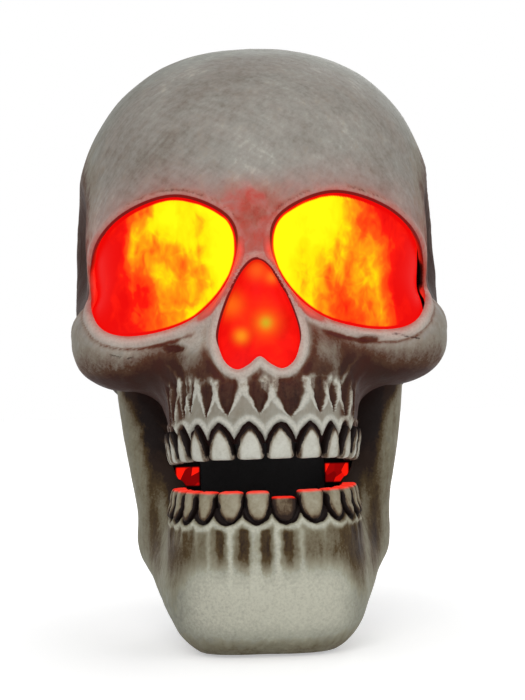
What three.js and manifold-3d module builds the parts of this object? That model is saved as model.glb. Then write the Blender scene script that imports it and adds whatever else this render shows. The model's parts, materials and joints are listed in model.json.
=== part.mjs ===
// A light-up skull decoration, built as the real one comes apart: two moulded
// halves of the skull, a hinged jaw, flame screens behind the eyes and nose, a
// flame projector with a turning ripple wheel, and the stand with the electrics.
// Millimetres, +Z up. The face looks along -Y. The origin is on the floor, in the
// middle of the stand's flat foot.
import * as THREE from "three";
import { mergeVertices } from "three/addons/utils/BufferGeometryUtils.js";
import Module from "manifold-3d";

const wasm = await Module();
wasm.setup();

// Driving dimensions

const wall = 6; // moulded skull and jaw
const fit = 0.3; // gap between pieces that sit on each other
const swing = 4; // room round the moving jaw
const over = 1; // how far a cut runs past the face it opens

const crown = 628; // top of the skull above the floor
const eyeLine = 385; // middle of the eye openings
const cheekLine = 312; // widest level of the cheekbones
const biteLine = 197; // lower edge of the upper front teeth
const rimLine = 264; // open underside of the braincase
const nape = { drop: 28, start: 70, run: 18 }; // its rear edge hangs lower, behind the jaw
const seamY = 40; // where the front and rear halves meet

// The lobes that the skull is moulded from: how square each is, and how far it runs into those before it
const vault = { width: 400, depth: 400, back: 245, widest: 385, lower: 190, power: 2.4 };
const forehead = { width: 336, depth: 320, height: 300, front: -199, middle: 455, power: 2.2, run: 44 };
const brow = { width: 334, depth: 216, height: 200, front: -204, rise: 14, power: 2.6, run: 30 };
const cheek = { width: 382, thickness: 124, depth: 132, height: 100, front: -183, power: 2.2, run: 26 };
const arch = { radius: 22, width: 384, front: -90, back: 40, frontRise: 12, rise: 26, run: 16 };
const maxilla = { width: 192, depth: 208, height: 180, front: -233, rise: 54, power: 2.6, run: 34 };
const maxillaEdge = { back: -92, sweep: 38, slope: 0.11 }; // its lower edge, behind the tooth row
const noseBridge = { width: 104, depth: 160, height: 150, front: -231, drop: 42, power: 2, run: 26 };
const temple = { width: 344, thickness: 76, depth: 165, height: 156, middleY: -35, middleZ: 418, run: 12 };
const fossa = { apart: 186, width: 62, depth: 60, height: 96, middleY: -238, middleZ: 262, run: 26 };

// Each eye opening: its middle from the nose line, and its width
const eye = { height: 134, left: { middle: 97, width: 151 }, right: { middle: 92, width: 158 } };
const nose = { floor: 283, width: 80, height: 105, aside: -2 };
const screenThickness = 2;
const screenWrap = 34; // how far round the side of the head an opening may reach behind its outer rim
const screenShort = 8; // the right eye's screen stops short of its outer rim
const eyeLip = 6; // how far an eye screen reaches past its opening
const noseLip = 9;

const hinge = { y: 25, z: 275, pin: 4, bush: 6.5, boss: 13, knuckle: 24, side: 1.5 };
const pivotHead = { radius: 9, height: 4 };
const pivotNut = { radius: 10, height: 5, tip: 1.7 };
const jawDrop = 33; // gap between the front teeth as the jaw hangs open
const jawClose = 7; // degrees from hanging open to shut
const chinClear = 3; // chin above the floor
const jawArch = { width: 198, depth: 224, height: 150, front: -218, drop: 60, power: 3 };
const chin = { width: 150, depth: 176, height: 110, front: -214, middle: 49, power: 2.5, run: 30 };
const jawBody = { width: 262, radius: 36, back: -20, rise: 57, run: 40 };
const jawBodyFront = { apart: 106, y: -154, z: 44 };
const ramus = { width: 261, level: 91, lean: 0.14, thickness: 72, depth: 130, height: 250, power: 3, run: 34 };
const ramusPlace = { front: -88, ahead: 32, above: 60 }; // against the hinge
const ramusTop = { slant: 70, slantDrop: 3, frontDrop: 14 }; // its upper edge, ahead of the knuckle
const jawHeel = { start: 8, angle: [-5, -16], rear: [9, 26], neck: [-4, 20] }; // corners of its rear edge
const jawCorner = { lap: 2, rise: 6, reach: 22 }; // where the tooth row meets the branch
const throat = { neck: 164, front: -100, back: -80, flare: -58, level: 104 }; // between the jaw's two sides

const upperTeeth = [28, 26, 20, 18, 17, 16, 15]; // widths along the row from its middle
const lowerTeeth = [25, 26, 19, 17, 16, 15, 14];
const upperMiddle = 1; // the tooth rows sit a little off centre
const lowerMiddle = 5;
const upperToothHeight = 32;
const lowerToothHeight = 30;
const toothThickness = 14;
const toothSet = 4.7; // how far a tooth's middle lies under the gum's skin
const toothLap = 1.08; // each tooth is a little wider than its share of the row
const archCentre = -130; // the tooth rows curve round this depth

const foot = { width: 164, depth: 215, thickness: 8, corner: 24, front: -60 };
const column = { width: 132, depth: 90, front: -28, wall: 3 };
const flange = { reach: 12, thickness: 4 };
const plate = { level: 258, thickness: 4, width: 244, cableHole: 12 };
const lug = { thickness: 4, depth: 36, above: 14 };
const stop = { length: 42, width: 11, height: 9, seat: 12, margin: 2 };

const projector = { radius: 42, wall: 3, front: -40, length: 110, mouth: 24 };
const lens = { thickness: 6, bulge: 7 };
const wheel = { radius: 33, thickness: 2, y: 0, holes: 6, hole: 8 };
const wheelHub = { radius: 6, length: 4, shaft: 2, shaftLength: 14 };
const motor = { radius: 14, front: 8, back: 44 };
const ledBoard = { thickness: 1.6, leds: 6, led: 3 };
const heatSink = { thickness: 6, fin: 14, fins: 6, finThickness: 2 };
const cradle = { width: 60, depth: 44, front: 0, wall: 4, hug: 9 };

const noseBoard = { width: 56, height: 62, y: -175, bottom: 300, thickness: 1.6, led: 4, dome: 6 };
const noseSpots = [[7, 332], [-16, 321], [-21, 350]]; // the lamps that show through the nose
const noseBracket = { width: 40, depth: 42, thickness: 3 };
const mouthLight = { width: 16, depth: 50, height: 8, apart: 180, front: -38 };
const mouthPanel = { reach: 38, height: 120, bottom: 110, thickness: 2, depth: 34, front: -26 };

const board = { width: 90, height: 120, bottom: 60, thickness: 1.6, standoff: 14, inset: 8 };
const peg = { radius: 4, pin: 1.5, length: 4 };
const cover = { width: 112, height: 172, bottom: 34, thickness: 3, lap: 6 };
const jack = { x: -24, z: 60, radius: 6, flange: 9, lip: 2, length: 16 };
const jackSocket = { radius: 3, depth: 11, pin: 1, pinDepth: 13 };
const rocker = { x: 22, z: 60, width: 11, height: 17, crest: 3.5, dip: 2, tilt: 10, axle: 1.2, axleLength: 14 };
const switchBody = { width: 17, height: 26, depth: 16, bezel: 3, bezelThickness: 1.7, play: 0.6, pocket: 15 };

const screw = { shank: 2, head: 4.2, headHeight: 2.2, past: 3, short: 2 };
const post = { x: 60, radius: 7, height: 40, inset: 27, bite: 16 };
const seamScrews = { low: 330, high: 522, behind: 9, tab: 7, tabHeight: 18, tabReach: 34 };

// Shaping

const aroundSkull = 32;
const ringsSkull = 22;
const aroundJaw = 28;
const ringsJaw = 17;
const frontCrowding = 1.25; // rings lie closer together towards the face
const farOut = 420; // beyond every surface of the skull
const searchStep = 3;
const walkStep = 0.01; // radians between trial places along a tooth row
const toothAround = 8;
const toothRings = 5;
const knuckleSides = 8;
const eyeSides = 30;
const noseSides = 36;
const domeSides = 3;
const cornerSides = 5;
const round = 18; // sides of a turned piece
const small = 10; // sides of a screw, pin or peg

// Signed distance to a lobe: an ellipsoid, squarer as its power rises above 2
function lobe(p, middle, half, power = 2) {
  const q = [0, 1, 2].map((i) => Math.abs(p[i] - middle[i]) / half[i]);
  const k = q.reduce((sum, v) => sum + v ** power, 0) ** (1 / power);
  if (k < 1e-6) return -Math.min(...half);
  const slope = Math.hypot(...q.map((v, i) => (v / k) ** (power - 1) / half[i]));
  return (k - 1) / slope;
}

// Signed distance to a bar with round ends
function bar(p, from, to, radius) {
  const along = to.map((v, i) => v - from[i]);
  const offset = p.map((v, i) => v - from[i]);
  const dot = (a, b) => a.reduce((sum, v, i) => sum + v * b[i], 0);
  const t = THREE.MathUtils.clamp(dot(offset, along) / dot(along, along), 0, 1);
  return Math.hypot(...offset.map((v, i) => v - along[i] * t)) - radius;
}

// Two forms run into each other over the given length
function blend(a, b, length) {
  const h = Math.max(length - Math.abs(a - b), 0) / length;
  return Math.min(a, b) - (h * h * length) / 4;
}

const carve = (a, b, length) => -blend(-a, b, length);

const halves = (s) => [s.width / 2, s.depth / 2, s.height / 2];

const lobeAt = (p, middle, s) => lobe(p, middle, halves(s), s.power);

function skullForm([x, y, z]) {
  const p = [Math.abs(x), y, z];
  const vaultHalf = [vault.width / 2, vault.depth / 2, z < vault.widest ? vault.lower : crown - vault.widest];
  const cheekX = (cheek.width - cheek.thickness) / 2;
  const cheekHalf = [cheek.thickness / 2, cheek.depth / 2, cheek.height / 2];
  const archX = arch.width / 2 - arch.radius;
  const archFrom = [archX, arch.front, cheekLine + arch.frontRise];
  const archTo = [archX, arch.back, cheekLine + arch.rise];
  const templeAt = [(temple.width + temple.thickness) / 2, temple.middleY, temple.middleZ];
  const templeHalf = [temple.thickness / 2, temple.depth / 2, temple.height / 2];
  const inFront = (s, level) => lobeAt(p, [0, s.front + s.depth / 2, level], s);
  let d = lobe(p, [0, vault.back - vault.depth / 2, vault.widest], vaultHalf, vault.power);
  d = blend(d, inFront(forehead, forehead.middle), forehead.run);
  d = blend(d, inFront(brow, eyeLine + brow.rise), brow.run);
  d = blend(d, lobe(p, [cheekX, cheek.front + cheek.depth / 2, cheekLine], cheekHalf, cheek.power), cheek.run);
  d = blend(d, bar(p, archFrom, archTo, arch.radius), arch.run);
  d = blend(d, inFront(maxilla, biteLine + maxilla.rise), maxilla.run);
  d = blend(d, inFront(noseBridge, eyeLine - noseBridge.drop), noseBridge.run);
  d = carve(d, lobe(p, templeAt, templeHalf), temple.run);
  return carve(d, lobe(p, [fossa.apart / 2, fossa.middleY, fossa.middleZ], halves(fossa)), fossa.run);
}

// Outer side of the jaw's upright branch at a height: it leans outwards going up
function ramusX(z) {
  return ramus.width / 2 + ramus.lean * (z - ramus.level);
}

function jawForm([x, y, z]) {
  const p = [Math.abs(x), y, z];
  const leaning = [p[0] - ramusX(z), y, z];
  const archZ = biteLine - jawDrop - jawArch.drop;
  const bodyFrom = [jawBodyFront.apart / 2, jawBodyFront.y, jawBodyFront.z];
  const bodyTo = [jawBody.width / 2 - jawBody.radius, jawBody.back, jawBody.rise + jawBody.radius];
  const ramusZ = hinge.z + ramusPlace.above - ramus.height / 2;
  const ramusHalf = [ramus.thickness / 2, ramus.depth / 2, ramus.height / 2];
  const ramusAt = [-ramus.thickness / 2, hinge.y - ramusPlace.ahead, ramusZ];
  let d = lobeAt(p, [0, jawArch.front + jawArch.depth / 2, archZ], jawArch);
  d = blend(d, lobeAt(p, [0, chin.front + chin.depth / 2, chin.middle], chin), chin.run);
  d = blend(d, bar(p, bodyFrom, bodyTo, jawBody.radius), jawBody.run);
  return blend(d, lobe(leaning, ramusAt, ramusHalf, ramus.power), ramus.run);
}

const skullMoulding = { form: skullForm, middle: [0, -20, 335], around: aroundSkull, rings: ringsSkull };
const jawMoulding = { form: jawForm, middle: [0, -70, 110], around: aroundJaw, rings: ringsJaw };

// Distance from a moulding's middle, along a direction, to its skin set in by a depth
function reachOf({ form, middle }, direction, inset) {
  const depth = (r) => form(middle.map((v, i) => v + direction[i] * r)) + inset;
  let outside = farOut;
  while (depth(outside - searchStep) > 0 && outside > 2 * searchStep) outside -= searchStep;
  let inside = outside - searchStep;
  for (let i = 0; i < 24; i++) {
    const mid = (inside + outside) / 2;
    if (depth(mid) > 0) outside = mid;
    else inside = mid;
  }
  return inside;
}

// A moulding's skin as a closed ball, with its crowded pole on the face
function skin(moulding, inset) {
  const ball = new THREE.SphereGeometry(1, moulding.around, moulding.rings);
  const place = ball.getAttribute("position");
  const v = new THREE.Vector3();
  for (let i = 0; i < place.count; i++) {
    v.fromBufferAttribute(place, i);
    const polar = Math.acos(THREE.MathUtils.clamp(v.y, -1, 1)) / Math.PI;
    const angle = Math.PI * (1 - (1 - polar) ** frontCrowding);
    const spin = Math.atan2(v.z, v.x);
    const around = polar < 1e-6 || polar > 1 - 1e-6 ? 0 : Math.sin(angle);
    v.set(around * Math.cos(spin), Math.cos(angle), around * Math.sin(spin)).normalize();
    const r = reachOf(moulding, v.toArray(), inset);
    place.setXYZ(i, ...moulding.middle.map((c, n) => c + v.getComponent(n) * r));
  }
  return solid(ball);
}

// Solids

function solid(geometry) {
  const bare = geometry.clone();
  bare.deleteAttribute("normal");
  bare.deleteAttribute("uv");
  const merged = mergeVertices(bare, 1e-4);
  const vertProperties = merged.getAttribute("position").array;
  const triVerts = new Uint32Array(merged.index.array);
  return new wasm.Manifold(new wasm.Mesh({ numProp: 3, vertProperties, triVerts }));
}

function geometryOf(manifold) {
  const { vertProperties, triVerts } = manifold.getMesh();
  const geometry = new THREE.BufferGeometry();
  geometry.setAttribute("position", new THREE.BufferAttribute(vertProperties, 3));
  geometry.setIndex(new THREE.BufferAttribute(triVerts, 1));
  return geometry;
}

function block([x0, x1], [y0, y1], [z0, z1]) {
  const box = new THREE.BoxGeometry(x1 - x0, y1 - y0, z1 - z0);
  return solid(box.translate((x0 + x1) / 2, (y0 + y1) / 2, (z0 + z1) / 2));
}

// An outline in x and z, run from one depth to another
function throughDepth(outline, y0, y1) {
  const shape = new THREE.Shape(outline.map(([x, z]) => new THREE.Vector2(x, z)));
  const prism = new THREE.ExtrudeGeometry(shape, { depth: y1 - y0, bevelEnabled: false });
  return solid(prism.rotateX(Math.PI / 2).translate(0, y1, 0));
}

function smoothClosed(points, count) {
  const curve = new THREE.CatmullRomCurve3(points.map(([x, z]) => new THREE.Vector3(x, z, 0)), true);
  return curve.getPoints(count).slice(0, -1).map((v) => [v.x, v.y]);
}

// An eye opening as shares of its half width and half height, from the nose side round over the top
const eyePoints = [
  [-1, 0.24], [-0.85, 0.71], [-0.23, 1], [0.44, 0.79], [0.885, 0.32],
  [1, -0.22], [0.82, -0.84], [0.355, -1], [-0.36, -0.8], [-0.83, -0.33],
];

function eyeOutline(side, grow) {
  const { middle, width } = side < 0 ? eye.left : eye.right;
  const points = eyePoints.map(([u, v]) => [
    side * (middle + u * (width / 2 + grow)),
    eyeLine + v * (eye.height / 2 + grow),
  ]);
  return smoothClosed(side < 0 ? points.reverse() : points, eyeSides);
}

// Half of the nose opening as shares of its half width and height, from the top down
const nosePoints = [
  [0.21, 0.962], [0.46, 0.838], [0.735, 0.629], [0.93, 0.42],
  [0.985, 0.26], [0.9, 0.12], [0.74, 0.035], [0.52, 0], [0.26, 0.045],
];

function noseOutline(grow) {
  const place = ([u, v]) => [
    nose.aside + u * (nose.width / 2 + grow),
    nose.floor - grow + v * (nose.height + 2 * grow),
  ];
  const right = nosePoints.map(place);
  const left = nosePoints.map(([u, v]) => place([-u, v])).reverse();
  return smoothClosed([place([0, 1]), ...right, place([0, 0.115]), ...left], noseSides).reverse();
}

const front = -farOut;
const back = farOut;
const everywhere = [-farOut, farOut];
const sides = { left: -1, right: 1 };

// Round bars along each axis
function turned(profile, count) {
  const points = profile.map(([r, along]) => new THREE.Vector2(r, along));
  return solid(new THREE.LatheGeometry(points, count));
}

function rod(radius, from, to, count) {
  return turned([[0, from], [radius, from], [radius, to], [0, to]], count);
}

const rodX = (r, x0, x1, y, z, count = round) => rod(r, x0, x1, count).rotate([0, 0, -90]).translate([0, y, z]);
const rodY = (r, y0, y1, x, z, count = round) => rod(r, y0, y1, count).translate([x, 0, z]);
const rodZ = (r, z0, z1, x, y, count = round) => rod(r, z0, z1, count).rotate([90, 0, 0]).translate([x, y, 0]);

// An outline in y and z, run from one side to another
function throughWidth(outline, x0, x1) {
  const shape = new THREE.Shape(outline.map(([y, z]) => new THREE.Vector2(y, z)));
  const prism = new THREE.ExtrudeGeometry(shape, { depth: x1 - x0, bevelEnabled: false });
  return solid(prism.rotateY(Math.PI / 2).rotateX(Math.PI / 2).translate(x0, 0, 0));
}

const together = (...solids) => wasm.Manifold.union(solids.flat());

// Skull

const skullSkin = skin(skullMoulding, 0);
const skullInside = skin(skullMoulding, wall);
const skullSeat = skin(skullMoulding, wall + fit);
const screenInside = skin(skullMoulding, wall + fit + screenThickness);

const plateTop = plate.level + plate.thickness;
const bossInner = plate.width / 2 + hinge.side; // inner face of the jaw's pivot bosses
const gumUpper = biteLine + upperToothHeight / 2;
const gumLower = biteLine - jawDrop - lowerToothHeight / 2;

// What is kept of the skull, seen from the side: open below, with the upper jaw hanging down in front
function skullSide() {
  const { back: edge, sweep, slope } = maxillaEdge;
  return throughWidth([
    [front, gumUpper], [maxilla.front, gumUpper], [edge - sweep, gumUpper - slope * (edge - maxilla.front)],
    [edge, rimLine], [nape.start, rimLine], [nape.start + nape.run, rimLine - nape.drop],
    [back, rimLine - nape.drop], [back, 2 * crown], [front, 2 * crown],
  ], ...everywhere);
}

// The upright branch of the jaw seen from the side, grown by a clearance
function branchSide(grow, bottom) {
  const top = [];
  const r = hinge.knuckle + grow;
  for (let i = 0; i <= knuckleSides; i++) {
    const a = (Math.PI * i) / knuckleSides;
    top.push([hinge.y + r * Math.cos(a), hinge.z + r * Math.sin(a)]);
  }
  const edge = ramusPlace.front - grow;
  return [
    [hinge.y + r, bottom], ...top, [hinge.y - ramusTop.slant, hinge.z - ramusTop.slantDrop + grow],
    [edge, hinge.z - ramusTop.frontDrop + grow], [edge, bottom],
  ];
}

// The room the jaw's branches sweep through
function jawRoom() {
  const slab = throughWidth(branchSide(swing, gumLower), bossInner - swing, ramusX(hinge.z) + wall + swing);
  const right = [0, 0.5, 1].map((share) =>
    slab.translate([0, -hinge.y, -hinge.z]).rotate([-jawClose * share, 0, 0]).translate([0, hinge.y, hinge.z]));
  const one = together(right);
  return one.add(one.mirror([1, 0, 0]));
}

// A tooth row: rounded teeth set along a moulding's skin at one level
function teeth({ form }, widths, start, level, slope, height) {
  const row = [];
  for (const side of Object.values(sides)) {
    let angle = 0;
    let walked = 0;
    let target = side * start;
    const at = (a) => {
      const ray = [side * Math.sin(a), -Math.cos(a), 0];
      const r = reachOf({ form, middle: [0, archCentre, level] }, ray, toothSet);
      return [side * Math.sin(a) * r, archCentre - Math.cos(a) * r];
    };
    for (const width of widths) {
      target += width / 2;
      let here = at(angle);
      while (walked < target) {
        angle += walkStep;
        const next = at(angle);
        walked += Math.hypot(next[0] - here[0], next[1] - here[1]);
        here = next;
      }
      target += width / 2;
      const ahead = at(angle + walkStep);
      const turn = Math.atan2(ahead[1] - here[1], ahead[0] - here[0]);
      const z = level - slope * (here[1] - at(0)[1]);
      const ball = new THREE.SphereGeometry(1, toothAround, toothRings).rotateX(Math.PI / 2);
      ball.scale((width * toothLap) / 2, toothThickness / 2, height / 2);
      ball.rotateZ(turn).translate(here[0], here[1], z);
      row.push(solid(ball));
    }
  }
  return row;
}

// A post inside the skull that a screw through the floor plate bites into
function shellPost(x, side) {
  const level = plateTop + post.height / 2;
  const y = side * (reachOf({ form: skullForm, middle: [x, 0, level] }, [0, side, 0], wall) - post.inset);
  const bottom = plateTop + fit;
  const web = [y, y + side * 2 * post.inset].sort((a, b) => a - b);
  const body = together(
    rodZ(post.radius, bottom, bottom + post.height, x, y, round),
    block([x - wall / 2, x + wall / 2], web, [bottom, bottom + post.height]),
  );
  const bore = rodZ(screw.shank + fit, bottom - over, bottom + post.bite, x, y, small);
  return { at: [x, y], body: body.intersect(skullSkin).subtract(bore) };
}

const posts = Object.values(sides).flatMap((side) =>
  [1, -1].map((end) => ({ end, ...shellPost(side * post.x, end) })));

// A tab of the front half that laps inside the rear half, with the seam screw through both
function seamTab(side, level) {
  const start = seamY - seamScrews.tabReach / 2;
  const end = start + seamScrews.tabReach;
  const y = seamY + seamScrews.behind;
  const height = [level - seamScrews.tabHeight / 2, level + seamScrews.tabHeight / 2];
  const reachAt = (depth, z) => reachOf({ form: skullForm, middle: [0, depth, z] }, [side, 0, 0], 0);
  const x = reachAt(y, level);
  const shallow = Math.min(...[start, seamY, end].flatMap((depth) => height.map((z) => reachAt(depth, z))));
  const across = (a, b) => [side * a, side * b].sort((m, n) => m - n);
  const inner = shallow - wall - fit - seamScrews.tab;
  const lap = block(across(inner, x), [start, end], height);
  const root = block(across(inner, x), [start, seamY - fit], height);
  const hole = rodX(screw.shank + fit, ...across(inner - over, x + wall), y, level, small);
  const seat = rodX(screw.head + fit, ...across(x - wall / 2, x + wall), y, level, round);
  const tab = together(lap.intersect(skullSeat), root.intersect(skullSkin)).subtract(hole);
  return { at: [side * (x - wall / 2 + fit), y, level], side, tab, cut: hole.add(seat) };
}

const seamTabs = Object.values(sides).flatMap((side) =>
  [seamScrews.low, seamScrews.high].map((level) => seamTab(side, level)));

// The openings and their screens end a little behind the outer rim of the eyes
const rimOf = ({ middle, width }) => middle + width / 2;
const outerRim = Math.max(rimOf(eye.left), rimOf(eye.right));
const rimReach = reachOf({ form: skullForm, middle: [outerRim, 0, eyeLine] }, [0, -1, 0], wall);
const screenBack = screenWrap - rimReach;

const windows = [eyeOutline(-1, 0), eyeOutline(1, 0), noseOutline(0)]
  .map((outline) => throughDepth(outline, front, screenBack));
const skullWall = skullSkin.subtract(skullInside).intersect(skullSide()).subtract(jawRoom());

function faceShell() {
  const part = skullWall.intersect(block(everywhere, [front, seamY - fit / 2], [0, 2 * crown]));
  const row = teeth(skullMoulding, upperTeeth, upperMiddle, gumUpper, maxillaEdge.slope, upperToothHeight);
  return together(part, row, seamTabs.map((t) => t.tab), posts.filter((p) => p.end < 0).map((p) => p.body))
    .subtract(together(windows));
}

function craniumShell() {
  const part = skullWall.intersect(block(everywhere, [seamY + fit / 2, back], [0, 2 * crown]));
  return together(part, posts.filter((p) => p.end > 0).map((p) => p.body))
    .subtract(together(seamTabs.map((t) => t.cut)));
}

function eyeScreen(side) {
  const reach = side > 0 ? rimOf(eye.right) - screenShort : farOut;
  return skullSeat.subtract(screenInside)
    .intersect(throughDepth(eyeOutline(side, eyeLip), front, screenBack))
    .intersect(block([-farOut, reach], everywhere, [0, 2 * crown]));
}

function noseScreen() {
  const outer = wall + 2 * fit + screenThickness;
  return skin(skullMoulding, outer).subtract(skin(skullMoulding, outer + screenThickness))
    .intersect(throughDepth(noseOutline(noseLip), front, screenBack));
}

// Jaw

const jawOuter = reachOf({ form: jawForm, middle: [0, hinge.y, hinge.z] }, [1, 0, 0], 0);

// The open space between the two sides of the jaw, round the stand's column: it widens above a level
function jawThroat() {
  const neck = throat.neck / 2;
  const plan = [[neck, throat.front], [neck, throat.back], [bossInner, throat.flare], [bossInner, back]];
  const mirrored = plan.map(([x, y]) => [-x, y]).reverse();
  const shape = new THREE.Shape([...plan, ...mirrored].map(([x, y]) => new THREE.Vector2(x, y)));
  const upper = new THREE.ExtrudeGeometry(shape, { depth: crown, bevelEnabled: false });
  const lower = block([-neck, neck], [throat.front, back], [-crown, crown]);
  return solid(upper.translate(0, 0, throat.level)).add(lower);
}

// The jaw's outline from the side
function jawSide() {
  const [angleY, angleZ] = jawHeel.angle;
  const [rearY, rearZ] = jawHeel.rear;
  const [neckY, neckZ] = jawHeel.neck;
  return throughWidth([
    [front, chinClear], [throat.front - jawHeel.start, chinClear], [hinge.y + angleY, ramus.level + angleZ],
    [hinge.y + rearY, ramus.level + rearZ],
    [hinge.y + hinge.knuckle + neckY, (ramus.level + hinge.z) / 2 + neckZ],
    ...branchSide(0, gumLower).slice(1, -1), [ramusPlace.front - jawCorner.lap, gumLower + jawCorner.rise],
    [ramusPlace.front - jawCorner.reach, gumLower], [front, gumLower],
  ], ...everywhere);
}

function jawShell() {
  const bend = skin(jawMoulding, 0).subtract(skin(jawMoulding, wall))
    .intersect(jawSide()).subtract(jawThroat());
  const row = teeth(jawMoulding, lowerTeeth, lowerMiddle, gumLower, 0, lowerToothHeight);
  const right = together(
    rodX(hinge.boss, bossInner, jawOuter - wall / 2, hinge.y, hinge.z),
    block([bossInner, bossInner + stop.width], [hinge.y - stop.length, hinge.y],
      [plateTop + fit, plateTop + fit + stop.height]),
  );
  const hole = rodX(hinge.bush + fit, ...everywhere, hinge.y, hinge.z);
  return together(bend, row, right, right.mirror([1, 0, 0])).subtract(hole);
}

const jawBush = () => rodX(hinge.bush, bossInner, jawOuter, hinge.y, hinge.z)
  .subtract(rodX(hinge.pin + fit, 0, farOut, hinge.y, hinge.z));

// Stand

const columnBack = column.front + column.depth;
const columnBottom = foot.thickness + fit;
const columnTop = plate.level - fit;
const centred = (size) => [-size / 2, size / 2];

// Screw places round the column's flanges
const flangeX = (column.width + flange.reach) / 2;
const flangeScrews = [-1, 1].flatMap((side) =>
  [column.front + flange.reach, columnBack - flange.reach].map((y) => [side * flangeX, y]));

function footPlate() {
  const w = foot.width / 2 - foot.corner;
  const shape = new THREE.Shape();
  const middleY = foot.front + foot.depth / 2;
  const d = foot.depth / 2 - foot.corner;
  shape.absarc(w, d, foot.corner, 0, Math.PI / 2);
  shape.absarc(-w, d, foot.corner, Math.PI / 2, Math.PI);
  shape.absarc(-w, -d, foot.corner, Math.PI, 1.5 * Math.PI);
  shape.absarc(w, -d, foot.corner, 1.5 * Math.PI, 2 * Math.PI);
  const slab = new THREE.ExtrudeGeometry(shape,
    { depth: foot.thickness, bevelEnabled: false, curveSegments: cornerSides });
  const bores = flangeScrews.map(([x, y]) =>
    rodZ(screw.shank + fit, foot.thickness / 4, foot.thickness + over, x, y, small));
  return solid(slab.translate(0, middleY, 0)).subtract(together(bores));
}

const boardTop = board.bottom + board.height;
const boardPegs = [-1, 1].flatMap((side) =>
  [board.bottom + board.inset, boardTop - board.inset].map((z) => [side * (board.width / 2 - board.inset), z]));
const coverTop = cover.bottom + cover.height;
const coverScrews = [[0, cover.bottom + cover.lap / 2], [0, coverTop - cover.lap / 2]];

function standColumn() {
  const depth = [column.front, columnBack];
  const height = [columnBottom, columnTop];
  const inside = [column.front + column.wall, columnBack - column.wall];
  const reach = centred(column.width + 2 * flange.reach);
  const tube = block(centred(column.width), depth, height)
    .subtract(block(centred(column.width - 2 * column.wall), inside, everywhere));
  const collars = [columnBottom, columnTop - flange.thickness].map((z) =>
    block(reach, depth, [z, z + flange.thickness])
      .subtract(block(centred(column.width - 2 * column.wall), inside, everywhere)));
  const pegs = boardPegs.map(([x, z]) => together(
    rodY(peg.radius, column.front + column.wall / 2, inside[0] + board.standoff, x, z, small),
    rodY(peg.pin, column.front + column.wall / 2, inside[0] + board.standoff + peg.length, x, z, small),
  ));
  const opening = block(centred(cover.width - 4 * cover.lap), [inside[1] - over, columnBack + over],
    [cover.bottom + 2 * cover.lap, coverTop - 2 * cover.lap]);
  const bores = flangeScrews.map(([x, y]) => rodZ(screw.shank + fit, 0, columnTop + over, x, y, small));
  const coverBores = coverScrews.map(([x, z]) =>
    rodY(screw.shank + fit, inside[1] - over, columnBack + over, x, z, small));
  return together(tube, collars, pegs).subtract(together(opening, bores, coverBores));
}

function floorPlate() {
  const level = [plate.level, plateTop];
  const edge = plate.width / 2;
  const sideRoom = block([edge, farOut],
    [ramusPlace.front - 3 * swing, hinge.y + hinge.knuckle + 2 * swing], everywhere);
  const waist = block([throat.neck / 2 - swing, farOut],
    [throat.front - 3 * swing, throat.flare + 4 * swing], everywhere);
  const sideCuts = sideRoom.add(waist);
  const lugRight = block([edge - lug.thickness, edge], [hinge.y - lug.depth / 2, hinge.y + lug.depth / 2],
    [plate.level, hinge.z + lug.above]);
  const seat = block([edge - lug.thickness, bossInner + stop.width + stop.margin],
    [hinge.y - stop.length, hinge.y - stop.length + stop.seat], level);
  const bores = [
    ...flangeScrews.map(([x, y]) => rodZ(screw.shank + fit, 0, farOut, x, y, small)),
    ...posts.map(({ at }) => rodZ(screw.shank + fit, 0, farOut, ...at, small)),
    rodZ(plate.cableHole, 0, farOut, 0, columnBack - 2 * plate.cableHole),
    rodX(hinge.pin + fit, ...everywhere, hinge.y, hinge.z),
  ];
  return together(
    skullSeat.intersect(block(everywhere, everywhere, level))
      .subtract(sideCuts.add(sideCuts.mirror([1, 0, 0]))),
    lugRight, lugRight.mirror([1, 0, 0]), seat, seat.mirror([1, 0, 0]),
  ).subtract(together(bores));
}

// A dome's profile, from its crown out to its rim
function dome(radius, height, base) {
  const points = [];
  for (let i = 0; i <= domeSides; i++) {
    const a = (Math.PI * i) / (2 * domeSides);
    points.push([radius * Math.sin(a), base - height * Math.cos(a)]);
  }
  return points;
}

// Flame projector, along its own axis

const bore = projector.radius - projector.wall;
const projectorBack = projector.front + projector.length;

function projectorHousing() {
  const inside = projector.front + projector.wall;
  return turned([
    [projector.mouth, projector.front], [projector.radius, projector.front], [projector.radius, projectorBack],
    [bore, projectorBack], [bore, inside], [projector.mouth, inside], [projector.mouth, projector.front],
  ], round);
}

function projectorLens() {
  const seat = projector.front + projector.wall + fit;
  return turned([
    ...dome(projector.mouth - 2 * fit, lens.bulge, seat), [bore - fit, seat],
    [bore - fit, seat + lens.thickness], [0, seat + lens.thickness],
  ], round);
}

function effectWheel() {
  const face = wheel.y + wheel.thickness;
  const holes = [];
  for (let i = 0; i < wheel.holes; i++) {
    const a = (2 * Math.PI * i) / wheel.holes;
    const r = (wheel.radius + wheelHub.radius) / 2;
    holes.push(rodY(wheel.hole, wheel.y - over, face + over, r * Math.cos(a), r * Math.sin(a), small));
  }
  return together(
    rodY(wheel.radius, wheel.y, face, 0, 0).subtract(together(holes)),
    rodY(wheelHub.radius, wheel.y, face + wheelHub.length, 0, 0, small),
    rodY(wheelHub.shaft, wheel.y, face + wheelHub.length + wheelHub.shaftLength, 0, 0, small),
  );
}

function wheelMotor() {
  const shaftEnd = wheel.y + wheel.thickness + wheelHub.length + wheelHub.shaftLength;
  return rodY(motor.radius, motor.front, motor.back, 0, 0)
    .subtract(rodY(wheelHub.shaft + fit, motor.front - over, shaftEnd + fit, 0, 0, small));
}

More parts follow.
